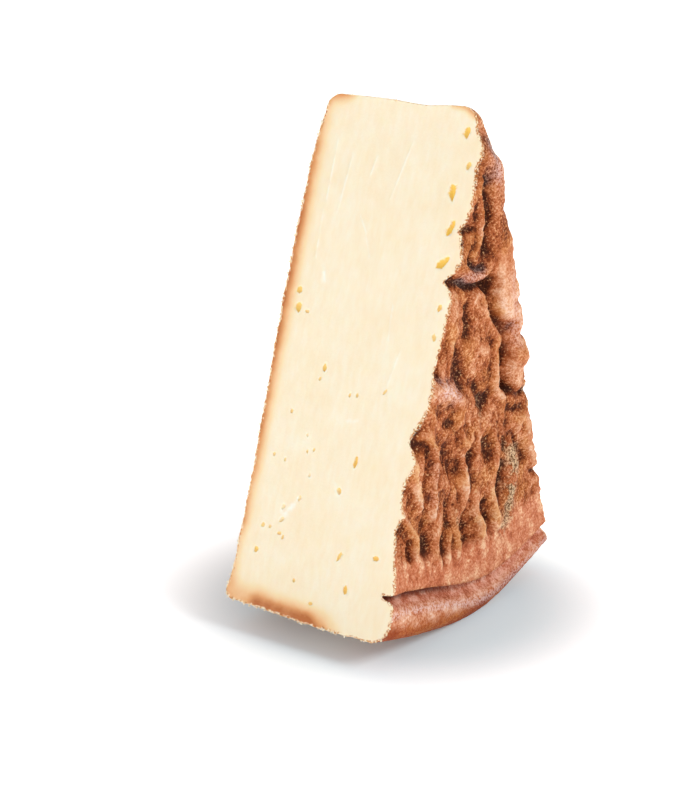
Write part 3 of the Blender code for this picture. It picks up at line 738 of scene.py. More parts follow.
def shaped(radius, axis, turn):
    """Where a point of the plain section goes once the sides have their relief."""
    half = WHEEL_HEIGHT / 2
    arc = turn * WHEEL_RADIUS
    down, across = down_across(radius, turn)
    near_tip = smooth_step(TIP_ROUND_WRINKLED[0] + 2, TIP_BLUNTNESS, radius) * (axis > 0)
    on_top = np.maximum(smooth_step(half - RIM_ROUND[1], half - 1, axis), near_tip)
    on_top = on_top * smooth_step(0, half - TIP_ROUND_WRINKLED[1], axis)
    on_flat = smooth_step(0, half - TIP_ROUND_FLAT[1], -axis)
    rolling = CLOTH_HEIGHT * noise(radius / CLOTH_SIZE, arc / CLOTH_SIZE, 21)
    flat_depth = through(FLAT_RADII, FLAT_DEPTHS, radius) + rolling * smooth_step(*FLAT_FADE, radius)
    grain = cloth(down, across, GRAIN, 61) * smooth_step(*GRAIN_FADE, radius)
    size, high = MOULD_CRUST
    crust = np.clip(strokes(down, across, MOULD), 0, 1) * np.abs(noise(down / size, across / size, 55))
    grain = grain + high * crust + crinkles(down, across)
    fine = cloth(down, across, SMOOTH_GRAIN, 71) * smooth_step(*GRAIN_FADE, radius)
    new_axis = axis - on_top * (wrinkled_side(radius, turn) - grain) + on_flat * (flat_depth - fine)
    at_heel = smooth_step(WHEEL_RADIUS - HEEL_REACH, WHEEL_RADIUS, radius)
    wave = CLOTH_HEIGHT * noise(axis / CLOTH_SIZE, arc / (2 * CLOTH_SIZE), 33)
    fall = through(HEEL_LINE, HEEL_DROPS, new_axis) + np.maximum(wave, 0)
    fall = fall - cloth(axis, arc, SMOOTH_GRAIN, 81)
    belly = BELLY_DEPTH * np.exp(-(((turn - BELLY_TURN) / BELLY_WIDTH) ** 2))
    lip = FOLD_LIP * np.exp(-(((radius - fold_place(turn)[0] + LIP_WIDTH) / LIP_WIDTH) ** 2)) * on_top
    dip = TIP_DIP * np.exp(-(((axis - TIP_DIP_PLACE) / TIP_DIP_WIDTH) ** 2))
    dip = dip * (1 - smooth_step(0, TIP_DIP_REACH, radius))
    return radius + at_heel * (belly - fall) + lip + dip, new_axis


def crumbled(places, outward, turn):
    """Pushes the rind in and out near each cut, so that the cut's edge is ragged."""
    radius = places[:, 0]
    gap = (HALF_ANGLE - np.abs(turn)) * np.maximum(radius, 6)
    near = np.exp(-((gap / CRUMBLE_REACH) ** 2)) * smooth_step(1, 6, radius)
    side = 40 * np.sign(turn)
    along = places[:, 0] * np.abs(outward[:, 1]) + places[:, 1] * np.abs(outward[:, 0])
    push = cloth(along + side, gap * 1.5, CRUMBLE, 91) * near
    return places + outward * push[:, None]


def outward_directions(points):
    """Unit directions (radius, axis) out of an outline at each of its points."""
    ahead = np.roll(points, -1, axis=0) - np.roll(points, 1, axis=0)
    ahead /= np.maximum(np.hypot(*ahead.T), 1e-9)[:, None]
    return np.stack([ahead[:, 1], -ahead[:, 0]], 1)


class Skin:
    """The wedge's curved surface: the section's points in columns, from the front cut to the back."""

    def __init__(self):
        self.section = section()
        self.strides = column_strides(self.section)
        self.counts = COLUMNS // self.strides + 1
        self.starts = np.concatenate([[0], np.cumsum(self.counts)[:-1]])
        turns = column_turns()
        point = np.repeat(np.arange(len(self.section)), self.counts)
        column = np.concatenate([np.arange(0, COLUMNS + 1, stride) for stride in self.strides])
        self.turn = turns[column]
        plain = self.section[point]
        radius, axis = shaped(plain[:, 0], plain[:, 1], self.turn)
        places = np.stack([radius, axis], 1)
        places = crumbled(places, outward_directions(self.section)[point], self.turn)
        self.plain = plain
        self.radius, self.axis = places.T

    def edge(self, side):
        """Indices of the points on one cut, in the order of the section."""
        return self.starts if side < 0 else self.starts + self.counts - 1

    def points(self):
        height = np.maximum(TIP_HEIGHT - self.radius * np.cos(self.turn), 0)
        return np.stack([self.axis, self.radius * np.sin(self.turn), height], 1)

    def faces(self):
        """Four-sided faces between columns, and five-sided ones where every second column ends."""
        made = []
        for here in range(len(self.section)):
            beyond = (here + 1) % len(self.section)
            a, b = self.starts[here], self.starts[beyond]
            here_stride, beyond_stride = self.strides[here], self.strides[beyond]
            for n in range(COLUMNS // max(here_stride, beyond_stride)):
                if here_stride == beyond_stride:
                    made.append((a + n, a + n + 1, b + n + 1, b + n))
                elif here_stride < beyond_stride:
                    made.append((a + 2 * n, a + 2 * n + 1, a + 2 * n + 2, b + n + 1, b + n))
                else:
                    made.append((a + n, a + n + 1, b + 2 * n + 2, b + 2 * n + 1, b + 2 * n))
        return made


def distances(places, outline):
    """Distance of each place from a closed outline, and whether it lies inside."""
    nearest = np.full(len(places), np.inf)
    inside = np.zeros(len(places), bool)
    for start, end in zip(outline, np.roll(outline, -1, axis=0)):
        step = end - start
        along = np.clip((places - start) @ step / max(step @ step, 1e-9), 0, 1)
        gap = places - start - along[:, None] * step
        nearest = np.minimum(nearest, np.hypot(gap[:, 0], gap[:, 1]))
        crosses = (start[1] > places[:, 1]) != (end[1] > places[:, 1])
        rise = np.where(abs(step[1]) < 1e-12, 1e-12, step[1])
        meets = start[0] + (places[:, 1] - start[1]) * step[0] / rise
        inside ^= crosses & (places[:, 0] < meets)
    return nearest, inside


def hexagons(low, high, spacing):
    """Staggered points that fill a box."""
    line = np.arange(low[0], high[0], spacing)
    made = []
    for n, row in enumerate(np.arange(low[1], high[1], spacing * math.sqrt(3) / 2)):
        made.append(np.stack([line + spacing / 2 * (n % 2), np.full_like(line, row)], 1))
    return np.concatenate(made)


def eye_frame(places, eye):
    """How far each place lies from an eye's middle: 1 on the eye's ragged outline."""
    down, across, long, wide, lean, _ = eye
    lean = math.radians(lean)
    along = (places[:, 0] - down) * math.cos(lean) - (places[:, 1] - across) * math.sin(lean)
    aside = (places[:, 0] - down) * math.sin(lean) + (places[:, 1] - across) * math.cos(lean)
    along, aside = along / long, aside / wide
    angle = np.arctan2(aside, along)
    ragged = 1 + EYE_RAGGED * noise(np.cos(angle) * 1.3 + down, np.sin(angle) * 1.3 + across, 17)
    return np.hypot(along, aside) / ragged


def eye_points(eye):
    """Rings of points round an eye."""
    down, across, long, wide, lean, _ = eye
    lean = math.radians(lean)
    made = [(down, across)]
    for share, count in EYE_RINGS:
        for angle in np.linspace(0, 2 * math.pi, count, endpoint=False) + share * 7:
            along, aside = share * long * math.cos(angle), share * wide * math.sin(angle)
            made.append((
                down + along * math.cos(lean) + aside * math.sin(lean),
                across - along * math.sin(lean) + aside * math.cos(lean),
            ))
    return np.array(made)


def back_eyes():
    """Eyes of the back cut, drawn by a seeded rule in the same sizes as those in front."""
    draw = np.random.default_rng(EYE_SEED)
    made = []
    for _, _, long, wide, _, deep in EYES[::2]:
        down = draw.uniform(*BACK_EYES_DOWN)
        across = draw.uniform(*BACK_EYES_ACROSS)
        made.append((down, across, long, wide, draw.uniform(*BACK_EYES_LEAN), deep))
    return made


def drag_points(drags):
    """Rows of points along each drag mark and on both sides of it."""
    made = []
    for start, end in drags:
        start, end = np.array(start, float), np.array(end, float)
        length = np.hypot(*(end - start))
        aside = np.array([-(end - start)[1], (end - start)[0]]) / length
        for row in (-2, -1, 0, 1, 2):
            t = np.linspace(0, 1, round(length / DRAG_STEP))[:, None]
            made.append(start + t * (end - start) + row * DRAG_WIDTH * aside)
    return np.concatenate(made)


class Cut:
    """One flat cut: a mesh that fills the outline left by the skin, with eyes and drag marks sunk in it."""

    def __init__(self, outline, side, spacing, eyes, drags):
        self.side = side
        self.eyes = eyes
        self.drags = drags
        self.outline = outline
        inner = self.inner_points(spacing)
        everything = np.concatenate([outline, inner])
        loop = list(range(len(outline)))
        result = delaunay_2d_cdt([Vector(p) for p in everything], [], [loop], 1, 1e-4)
        self.places = np.array([v[:] for v in result[0]])
        self.origins = [min(found) if found else -1 for found in result[3]]
        self.triangles = [tuple(face) for face in result[2]]
        self.edge, _ = distances(self.places, outline)
        self.on_edge = np.array([0 <= origin < len(outline) for origin in self.origins])
        self.edge[self.on_edge] = 0

    def inner_points(self, spacing):
        inward = -outward_directions(self.outline)
        made = []
        for row in CAP_ROWS:
            shifted = self.outline + inward * row
            gap, inside = distances(shifted, self.outline)
            made.append(shifted[inside & (gap > 0.85 * row)])
        grid = hexagons(self.outline.min(0), self.outline.max(0), spacing)
        gap, inside = distances(grid, self.outline)
        grid = grid[inside & (gap > CAP_ROWS[-1] + spacing / 2)]
        if self.drags:
            for drag in self.drags:
                clear = distance_to_line(*grid.T, drag) >= 2 * DRAG_WIDTH + spacing / 2
                grid = grid[clear]
            marks = drag_points(self.drags)
            gap, inside = distances(marks, self.outline)
            grid = np.concatenate([grid, marks[inside & (gap > CAP_ROWS[-1] + DRAG_WIDTH)]])
        made.append(grid)
        inner = np.concatenate(made)
        for eye in self.eyes:
            inner = inner[eye_frame(inner, eye) > EYE_RINGS[-1][0] + 0.1]
        rings = np.concatenate([eye_points(eye) for eye in self.eyes])
        gap, inside = distances(rings, self.outline)
        return np.concatenate([inner, rings[inside & (gap > CAP_ROWS[0])]])

    def sunk(self):
        """Depth of each place under the cut's plane, how far it lies in an amber eye, and on a pale mark,
        where a drag mark runs and where an eye's lip has a painted highlight.
        """
        down, across = self.places.T
        depth = np.zeros(len(down))
        in_eye = np.zeros(len(down))
        pale = np.zeros(len(down))
        least, more = EYE_GOLD
        for eye in self.eyes:
            eye_down, eye_across, long, wide, _, deep = eye
            share = eye_frame(self.places, eye)
            depth = np.maximum(depth, EYE_DEPTH * deep * np.sqrt(np.clip(1 - share**2, 0, 1)))
            gold = np.clip(least + more * deep, 0, 1)
            in_eye = np.maximum(in_eye, gold * np.clip(EYE_SOFTNESS * (1 - share), 0, 1))
            aside = (down - eye_down + across - eye_across) / math.hypot(long, wide)
            lip = np.exp(-(((share - EYE_LIP_PLACE) / EYE_LIP_WIDTH) ** 2)) * np.clip(aside, 0, 1)
            depth -= EYE_LIP * lip
            # Painted highlight: the lip is painted pale
            pale = np.maximum(pale, lip)
        for drag in self.drags:
            gap = distance_to_line(down, across, drag)
            ridge = np.exp(-((gap / DRAG_WIDTH) ** 2)) * (in_eye <= 0)
            depth -= DRAG_HEIGHT * ridge
            pale = np.maximum(pale, ridge)
        wavy = sum(high * noise(down / long, across / wide, seed) for long, wide, high, seed in CUT_WAVES)
        rough = CUT_ROUGH * noise(down / CUT_ROUGH_SIZE, across / CUT_ROUGH_SIZE, 8)
        rough = rough * np.exp(-((self.edge / CUT_ROUGH_REACH) ** 2))
        depth += (wavy + rough) * smooth_step(0, CUT_EVEN_EDGE, self.edge)
        return depth, in_eye, pale

    def points(self):
        depth, self.in_eye, self.pale = self.sunk()
        turn = self.side * HALF_ANGLE
        down, across = self.places.T
        inward = np.array([0, -self.side * math.cos(turn), -self.side * math.sin(turn)])
        flat = np.stack([across, down * math.sin(turn), TIP_HEIGHT - down * math.cos(turn)], 1)
        return flat + depth[:, None] * inward


def assembled(skin, cuts):
    """All points, faces and material numbers of the wedge, with the cuts' edges."""
    points = [skin.points()]
    faces = skin.faces()
    numbers = [0] * len(faces)
    total = len(points[0])
    edges = set()
    for cut in cuts:
        rim = skin.edge(cut.side)
        inner = np.flatnonzero(~cut.on_edge)
        index = np.empty(len(cut.places), int)
        index[inner] = total + np.arange(len(inner))
        index[cut.on_edge] = rim[np.array(cut.origins)[cut.on_edge]]
        points.append(cut.points()[inner])
        total += len(inner)
        for triangle in cut.triangles:
            a, b, c = (cut.places[n] for n in triangle)
            turned = (b[0] - a[0]) * (c[1] - a[1]) - (b[1] - a[1]) * (c[0] - a[0])
            order = triangle if turned * -cut.side > 0 else triangle[::-1]
            faces.append(tuple(index[n] for n in order))
            numbers.append(1)
        edges |= {tuple(sorted(pair)) for pair in zip(rim.tolist(), np.roll(rim, -1).tolist())}
    return np.concatenate(points), faces, numbers, edges


def no_marks(count):
    return {name: np.zeros(count) for name in MARKS}


def rind_marks(skin):
    """What tells the rind's stretches apart at each point of the skin, and where shade, highlight and sheen
    are painted.
    """
    radius, axis = skin.plain.T
    turn = skin.turn
    half = WHEEL_HEIGHT / 2
    down, across = down_across(radius, turn)
    d, a = wandered(down, across, WANDER_SEED)
    top = smooth_step(half - 2, half - 0.5, axis)
    tip_fade = smooth_step(*TIP_FADE, radius)
    fade = (1 - smooth_step(BELT_START, BELT_END, radius)) * tip_fade * top
    # Hollows darker: partly the rind's own tone, partly painted shade; near the tip a painted shade is added
    hollow = strokes(d, a, HOLLOWS) / HOLLOW_FULL + TIP_PAINTED_SHADE * smooth_step(*TIP_PAINTED_SHADE_RADII, radius)
    # Crests paler: partly the rind's own tone, partly painted highlight; painted shade dulls the large swells
    # below
    crest = np.clip(strokes(d, a, SWELLS) / CREST_FULL, 0, 1)
    from_fold = radius - fold_place(turn)[0]
    # Painted shadow under the fold's lip
    line = np.exp(-(((from_fold - LIP_SHADOW_SHIFT) / LIP_SHADOW_WIDTH) ** 2)) * smooth_step(*LIP_SHADOW_TURNS, turn)
    ragged = radius + BELT_RAGGED * noise(down / 5, across / 4, 77)
    belt = smooth_step(*BELT_INNER, ragged) * smooth_step(*BELT_OUTER, from_fold) * top
    # Painted shade in small hollows and painted highlight on small bumps; painted light on the belt away from
    # the front cut
    dip = dipped(radius, turn) * top * tip_fade + BELT_PAINTED_LIGHT * belt * smooth_step(*BELT_PAINTED_LIGHT_ACROSS, across)
    ragged = radius + noise(turn * WHEEL_RADIUS / 4, axis / 3, 79)
    heel = smooth_step(WHEEL_RADIUS - 8, WHEEL_RADIUS - 4.5, ragged)
    tip = smooth_step(4, 2, radius) * smooth_step(half - 3, half - 7, axis)
    # Painted sheen along the rim's crest
    rim_crest = RIM_SHEEN * np.exp(-(((from_fold - RIM_CREST) / RIM_CREST_WIDTH) ** 2)) * top
    marks = no_marks(len(radius))
    marks.update(
        hollow=np.clip(hollow, 0, 1) * fade,
        crest=(crest - strokes(down, across, SWELL_PAINTED_SHADE)) * fade,
        dip=dip,
        groove=smooth_step(*GROOVE_INNER, from_fold) * smooth_step(*GROOVE_OUTER, from_fold) * top,
        line=line * top,
        belt=belt,
        rim=smooth_step(*RIM_INNER, from_fold) * smooth_step(half - 5.5, half - 2, axis),
        plain=np.maximum(smooth_step(half - 1, half - 5, axis), heel),
        flat=smooth_step(24, 10, axis),
        tip=tip * smooth_step(1 - half, 4 - half, axis),
        mould=np.clip(strokes(down, across, MOULD), 0, 1) * top,
        bloom=np.clip(strokes(down, across, SHEEN_STROKES) + rim_crest, 0, 1) * top,
        edge=(HALF_ANGLE - np.abs(turn)) * radius,
    )
    return marks


def browned(down, across):
    """How brown the cut is at each place, 0 to 1."""
    return np.clip(strokes(down, across, WARM), 0, 1)


def cut_marks(cut):
    """The same marks on a cut, where only its edge, eyes, pale marks with the painted highlights on the eyes'
    lips, and brown stretches count.
    """
    down, across = cut.places.T
    d = down + CRACK_FRAY * noise(down, across, 93)
    a = across + CRACK_FRAY * noise(down, across, 94)
    marks = no_marks(len(down))
    marks.update(
        edge=cut.edge + smooth_step(4, 2, down),
        eye=cut.in_eye,
        drag=np.clip(PALE_MARK_AND_HIGHLIGHT_SHARE * cut.pale + strokes(d, a, CRACKS), 0, 1),
        warm=browned(down, across),
    )
    return marks


def place_marks(mesh, skin, cuts):
    """Writes the marks and each point's place on the wheel into the mesh."""
    every = rind_marks(skin)
    place = [np.stack([skin.axis, skin.radius, skin.turn * skin.radius], 1)]
    for cut in cuts:
        inner = ~cut.on_edge
        for name, values in cut_marks(cut).items():
            every[name] = np.concatenate([every[name], values[inner]])
        down, across = cut.places[inner].T
        place.append(np.stack([across, down, cut.side * HALF_ANGLE * down], 1))
        rim = skin.edge(cut.side)
        every["warm"][rim] = browned(skin.radius[rim], skin.axis[rim])
    for name in MARKS:
        layer = mesh.attributes.new(name, "FLOAT", "POINT")
        layer.data.foreach_set("value", every[name].astype(np.float32))
    layer = mesh.attributes.new("place", "FLOAT_VECTOR", "POINT")
    layer.data.foreach_set("vector", np.concatenate(place).astype(np.float32).ravel())


def add_object(name, data):
    made = bpy.data.objects.new(name, data)
    bpy.context.scene.collection.objects.link(made)
    return made


def wedge_piece():
    """The cheese, one closed mesh with rind outside and paste on both cuts, and the front one of these."""
    skin = Skin()
    front, back = [np.stack([skin.radius[rim], skin.axis[rim]], 1) for rim in (skin.edge(-1), skin.edge(1))]
    cuts = [
        Cut(front, -1, FRONT_SPACING, EYES, DRAGS),
        Cut(back, 1, BACK_SPACING, back_eyes(), ()),
    ]
    points, faces, numbers, edges = assembled(skin, cuts)
    mesh = bpy.data.meshes.new("cheese")
    mesh.from_pydata(points * MM, [], faces)
    mesh.polygons.foreach_set("material_index", numbers)
    mesh.shade_smooth()
    sharp = [tuple(sorted(edge.vertices)) in edges for edge in mesh.edges]
    mesh.attributes.new("sharp_edge", "BOOLEAN", "EDGE").data.foreach_set("value", sharp)
    place_marks(mesh, skin, cuts)
    mesh.materials.append(rind_material())
    mesh.materials.append(paste_material())
    return add_object("cheese", mesh), cuts[0]


def crumb_weights(outline):
    """How thickly crumbs lie at each point of the front cut's edge: thickest low down and at its left."""
    lengths = np.hypot(*(np.roll(outline, -1, axis=0) - outline).T)
    down, across = outline.T
    share = np.where(across < 0, CRUMBS_LEFT, CRUMBS_RIGHT)
    share = np.where(down > WHEEL_RADIUS - 9, CRUMBS_LOW, share)
    weights = lengths * share * np.where(down > 6, 1, CRUMBS_TIP)
    return weights / weights.sum()


def crumbs_piece(cut):
    """Small ragged crumbs half sunk in the edge of the front cut."""
    ball = bmesh.new()
    bmesh.ops.create_icosphere(ball, subdivisions=2, radius=1)
    shape = np.array([v.co for v in ball.verts])
    faces = np.array([[v.index for v in face.verts] for face in ball.faces])
    ball.free()
    draw = np.random.default_rng(CRUMB_SEED)
    chosen = draw.choice(len(cut.outline), CRUMBS, p=crumb_weights(cut.outline))
    points, triangles = [], []
    turn = -HALF_ANGLE
    outward = np.array([0, -math.cos(turn), -math.sin(turn)])
    for number, spot in enumerate(chosen):
        down, across = cut.outline[spot] + draw.uniform(-CRUMB_SPREAD, CRUMB_SPREAD, 2)
        size = draw.uniform(*CRUMB_SIZES) ** CRUMB_POWER
        centre = np.array([across, down * math.sin(turn), TIP_HEIGHT - down * math.cos(turn)])
        stretch = draw.uniform(*CRUMB_STRETCH, 3)
        ragged = noise(shape[:, 0] * 1.6 + number, shape[:, 1] * 1.6 + shape[:, 2], 3)
        swell = 1 + CRUMB_RAGGED * ragged
        points.append(centre + outward * draw.uniform(*CRUMB_SUNK) + shape * swell[:, None] * stretch * size)
        triangles.append(faces + number * len(shape))
    mesh = bpy.data.meshes.new("edge_crumbs")
    mesh.from_pydata(np.concatenate(points) * MM, [], np.concatenate(triangles).tolist())
    mesh.shade_smooth()
    mesh.materials.append(crumb_material())
    return add_object("edge_crumbs", mesh)


class Nodes:
    """Short ways to add a material's nodes. Values may be numbers, colours or other nodes' outputs."""

    def __init__(self, name):
        self.material = bpy.data.materials.new(name)
        self.material.use_nodes = True
        self.tree = self.material.node_tree
        self.shader = self.tree.nodes["Principled BSDF"]

    def feed(self, socket, value):
        if isinstance(value, bpy.types.NodeSocket):
            self.tree.links.new(value, socket)
        else:
            socket.default_value = value

    def set(self, **values):
        for name, value in values.items():
            self.feed(self.shader.inputs[name.replace("_", " ")], value)

    def add(self, kind):
        return self.tree.nodes.new("ShaderNode" + kind)

    def filled(self, node, inputs, output):
        """Feeds a node's inputs, and gives one of its outputs."""
        for name, value in inputs.items():
            self.feed(node.inputs[name], value)
        return node.outputs[output]

    def mark(self, name):
        found = self.add("Attribute")
        found.attribute_name = name
        return found.outputs["Fac"]

    def place(self, stretch):
        """The point's place on the wheel in millimetres, stretched for a grain that runs one way."""
        found = self.add("Attribute")
        found.attribute_name = "place"
        scaled = self.add("VectorMath")
        scaled.operation = "MULTIPLY"
        return self.filled(scaled, {0: found.outputs["Vector"], 1: stretch}, "Vector")

    def here(self):
        """The point's place in the scene, in millimetres."""
        found = self.add("TexCoord")
        scaled = self.add("VectorMath")
        scaled.operation = "SCALE"
        return self.filled(scaled, {0: found.outputs["Object"], "Scale": 1 / MM}, "Vector")

    def grain(self, place, size, detail=2.0, rough=0.5):
        """Noise about 0.5, with bumps of about this size in millimetres."""
        inputs = {"Vector": place, "Scale": 0.5 / size, "Detail": detail, "Roughness": rough}
        return self.filled(self.add("TexNoise"), inputs, "Fac")

    def math(self, operation, *values):
        made = self.add("Math")
        made.operation = operation
        return self.filled(made, dict(enumerate(values)), "Value")

    def times(self, first, second):
        return self.math("MULTIPLY", first, second)

    def plus(self, value, share, rest):
        """A share of a value, added to the rest."""
        return self.math("MULTIPLY_ADD", value, share, rest)

    def blend(self, first, second, share=0.5):
        return self.plus(first, share, self.times(second, 1 - share))

    def spread(self, value, low, high, bottom=0.0, top=1.0):
        """Smoothly takes low..high to bottom..top."""
        made = self.add("MapRange")
        made.interpolation_type = "SMOOTHSTEP"
        inputs = {"Value": value, "From Min": low, "From Max": high, "To Min": bottom, "To Max": top}
        return self.filled(made, inputs, "Result")

    def swing(self, grain, bottom, top):
        """Takes the usual range of a grain to bottom..top."""
        return self.spread(grain, *USUAL_GRAIN, bottom, top)

    def mix(self, share, first, second):
        """One colour over another. The colour sockets have the same names as others, so they go by number."""
        made = self.add("Mix")
        made.data_type = "RGBA"
        return self.filled(made, {"Factor": share, 6: first, 7: second}, 2)

    def ramp(self, value, stops):
        made = self.add("ValToRGB")
        elements = made.color_ramp.elements
        while len(elements) < len(stops):
            elements.new(0.5)
        for element, (place, colour) in zip(elements, stops):
            element.position = place
            element.color = colour
        return self.filled(made, {"Fac": value}, "Color")

    def bump(self, height, distance, strength, over=None):
        inputs = {"Distance": distance * MM, "Strength": strength, "Height": height}
        if over is not None:
            inputs["Normal"] = over
        return self.filled(self.add("Bump"), inputs, "Normal")


def rind_material():
    """Washed rind: brown in the hollows, pink-tan on the crests, partly painted shade and highlight,
    granular, with painted sheen, a painted shadow under the fold's lip and a little mould.
    """
    n = Nodes("washed_rind")
    here = n.here()
    broad = n.grain(here, 7, 2)
    patch = n.grain(here, 2.4, 3, 0.6)
    fine = n.grain(here, 0.42, 3, 0.7)
    speck = n.grain(here, 0.3, 1, 0.5)
    # Lightness of the rind: crests paler and hollows darker, partly own tone and partly painted highlight and
    # shade, then painted shade in small dips and painted highlight on small bumps
    light = n.plus(n.mark("crest"), 0.16, 0.50)
    light = n.plus(n.mark("hollow"), -0.28, light)
    light = n.plus(n.math("MINIMUM", n.mark("dip"), 0), 0.28, light)
    light = n.plus(n.math("MAXIMUM", n.mark("dip"), 0), 0.13, light)
    light = n.math("ADD", light, n.swing(broad, -0.12, 0.12))
    light = n.math("ADD", light, n.swing(patch, -0.10, 0.10))
    calm = n.spread(n.mark("crest"), 0, 1, 1, 0.6)
    light = n.math("ADD", light, n.times(n.swing(fine, -0.22, 0.22), calm))
    golden = n.times(n.spread(n.grain(here, 5, 2), 0.46, 0.62), 0.5)
    colour = n.mix(golden, n.ramp(light, RIND_TONES), n.ramp(light, RIND_GOLD))
    grains = n.times(n.spread(fine, 0.54, 0.64), n.spread(speck, 0.48, 0.58))
    colour = n.mix(n.times(grains, 0.6), colour, PALE_GRAIN)
    # The belt's tone follows the dips, as painted shade and highlight, with painted light away from the front
    # cut
    belt = n.ramp(n.plus(n.mark("dip"), 0.12, n.blend(fine, patch)), BELT_TONES)
    belt = n.mix(n.spread(n.mark("dip"), 0.1, -0.6, 0, 0.5), belt, n.ramp(light, RIND_TONES))
    colour = n.mix(n.mark("belt"), colour, belt)
    colour = n.mix(n.mark("rim"), colour, n.ramp(n.blend(fine, patch), RIM_TONES))
    plain = n.ramp(n.blend(fine, broad), PLAIN_TONES)
    smear = n.blend(fine, n.times(n.math("ADD", patch, broad), 0.5))
    plain = n.mix(n.mark("flat"), plain, n.ramp(smear, FLAT_TONES))
    colour = n.mix(n.mark("plain"), colour, plain)
    # Painted sheen on the crests and along the rim's crest
    bloom = n.times(n.mark("bloom"), n.spread(fine, 0.40, 0.58))
    colour = n.mix(n.times(bloom, 0.8), colour, SHEEN_TONE)
    groove = n.ramp(n.blend(fine, patch, 0.45), GROOVE_TONES)
    colour = n.mix(n.times(n.mark("groove"), 0.85), colour, groove)
    # Painted shadow under the fold's lip
    colour = n.mix(n.mark("line"), colour, LIP_SHADOW_TONE)
    mould = n.mix(n.spread(fine, 0.46, 0.54), MOULD_SPECK, MOULD_TONE)
    colour = n.mix(n.times(n.mark("mould"), n.spread(patch, 0.42, 0.52)), colour, mould)
    crust = n.times(n.spread(n.mark("edge"), 1.1, 0.1), n.spread(fine, 0.35, 0.55))
    colour = n.mix(n.times(crust, 0.8), colour, n.ramp(speck, CRUST_TONES))
    colour = n.mix(n.mark("tip"), colour, n.ramp(fine, CRUMB_TONES))
    bumps = n.bump(n.grain(here, 0.9, 3, 0.65), 0.6, 0.8)
    n.set(
        Base_Color=colour,
        Normal=n.bump(fine, 0.4, 0.8, bumps),
        Roughness=n.swing(fine, 0.72, 0.5),
        Specular_IOR_Level=0.15,
        Subsurface_Weight=0.04,
        Subsurface_Radius=(1.0, 0.4, 0.2),
        Subsurface_Scale=0.0015,
    )
    return n.material


def paste_material():
    """Cream paste: faint streaks, amber in the eyes, pale marks with painted highlights on the eyes' lips,
    browner towards the rind, and a golden ragged crust.
    """
    n = Nodes("cream_paste")
    here = n.here()
    streak = n.grain(n.place((1, 0.06, 1)), 1.0, 3, 0.55)
    cloud = n.grain(here, 9, 2)
    colour = n.ramp(n.blend(streak, cloud), PASTE_TONES)
    warm = n.times(n.mark("warm"), n.swing(n.grain(here, 3, 3), 0.88, 1.12))
    colour = n.mix(n.spread(warm, 0.0, 0.2), colour, n.ramp(warm, WARM_TONES))
    colour = n.mix(n.mark("eye"), colour, EYE_TONE)
    # Pale drag marks and cracks, and painted highlights on the eyes' lips
    drag = n.times(n.mark("drag"), n.spread(n.grain(here, 1.8, 2), 0.4, 0.6, 0.3, 1.0))
    colour = n.mix(drag, colour, PALE_MARK_AND_HIGHLIGHT_TONE)
    edge = n.math("ADD", n.mark("edge"), n.swing(n.grain(here, 0.8, 2), -0.35, 0.3))
    crust = n.ramp(n.grain(here, 0.45, 2, 0.6), CRUST_TONES)
    bumps = n.bump(streak, 0.18, 0.5)
    n.set(
        Base_Color=n.mix(n.spread(edge, 0.8, 0.3, 0.0, 0.95), colour, crust),
        Normal=n.bump(n.grain(here, 0.6, 2), 0.1, 0.5, bumps),
        Roughness=n.swing(cloud, 0.42, 0.55),
        Specular_IOR_Level=0.4,
        Subsurface_Weight=0.25,
        Subsurface_Radius=(1.0, 0.6, 0.3),
        Subsurface_Scale=0.003,
    )
    return n.material


def crumb_material():
    n = Nodes("pale_crumbs")
    fine = n.grain(n.here(), 0.5, 2)
    n.set(
        Base_Color=n.ramp(fine, CRUMB_TONES),
        Normal=n.bump(fine, 0.2, 0.6),
        Roughness=0.6,
        Subsurface_Weight=0.2,
        Subsurface_Radius=(1.0, 0.6, 0.3),
        Subsurface_Scale=0.001,
    )
    return n.material


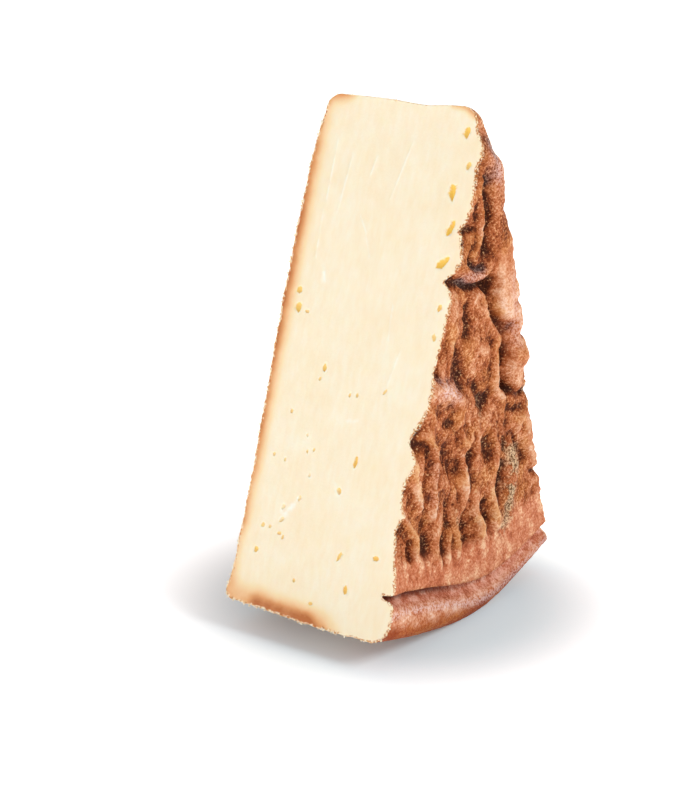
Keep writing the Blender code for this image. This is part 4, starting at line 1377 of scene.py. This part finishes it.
def add_floor():
    """A wide pale floor that fades into the background."""
    half = FLOOR_SIZE / 2
    corners = [(-half, -half), (half, -half), (half, half), (-half, half)]
    mesh = bpy.data.meshes.new("floor")
    mesh.from_pydata([(x, y, -FLOOR_GAP) for x, y in corners], [], [(0, 1, 2, 3)])
    n = Nodes("floor_white")
    far = n.add("VectorMath")
    far.operation = "LENGTH"
    metres = n.times(n.filled(far, {0: n.here()}, "Value"), MM)
    n.set(
        Base_Color=n.mix(n.spread(metres, *FLOOR_NEAR), FLOOR_TONE_NEAR, FLOOR_TONE),
        Roughness=0.9,
        Specular_IOR_Level=0.1,
        Emission_Color=(1, 1, 1, 1),
        Emission_Strength=n.spread(metres, *FLOOR_GLOW_REACH, *FLOOR_GLOW),
    )
    mesh.materials.append(n.material)
    floor = add_object("floor", mesh)


def add_light(name, place, size, power):
    light = bpy.data.lights.new(name, "AREA")
    light.size = size
    light.energy = power
    lamp = add_object(name, light)
    lamp.location = place
    towards = Vector(LIT_PLACE) - Vector(place)
    lamp.rotation_euler = towards.to_track_quat("-Z", "Y").to_euler()


def add_background():
    world = bpy.data.worlds.new("studio")
    world.use_nodes = True
    shader = world.node_tree.nodes["Background"]
    shader.inputs["Color"].default_value = (1, 1, 1, 1)
    shader.inputs["Strength"].default_value = BACKGROUND_LIGHT
    bpy.context.scene.world = world
    bpy.context.scene.view_settings.view_transform = "Standard"


def add_camera():
    """The camera at the photograph's place, slightly rolled."""
    turn, rise, roll = (math.radians(v) for v in (CAMERA_TURN, CAMERA_RISE, CAMERA_ROLL))
    back = Vector((math.sin(turn) * math.cos(rise), -math.cos(turn) * math.cos(rise), math.sin(rise)))
    right = Vector((math.cos(turn), math.sin(turn), 0))
    up = back.cross(right)
    rolled_right = math.cos(roll) * right + math.sin(roll) * up
    rolled_up = math.cos(roll) * up - math.sin(roll) * right
    aim = right * AIM_SIDE + Vector((0, 0, AIM_HEIGHT))
    data = bpy.data.cameras.new("camera")
    data.lens = CAMERA_LENS
    data.sensor_width = CAMERA_SENSOR
    camera = add_object("camera", data)
    matrix = Matrix((rolled_right, rolled_up, back)).transposed().to_4x4()
    matrix.translation = aim + back * CAMERA_DISTANCE
    camera.matrix_world = matrix
    bpy.context.scene.camera = camera


def main():
    cheese, front = wedge_piece()
    crumbs = crumbs_piece(front)
    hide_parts(NODE)
    for piece in (cheese, crumbs):
        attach(piece, BODY)
    add_floor()
    add_light("key", KEY_PLACE, KEY_SIZE, KEY_POWER)
    add_light("fill", FILL_PLACE, FILL_SIZE, FILL_POWER)
    add_light("front", FRONT_PLACE, FRONT_SIZE, FRONT_POWER)
    add_background()
    add_camera()


main()
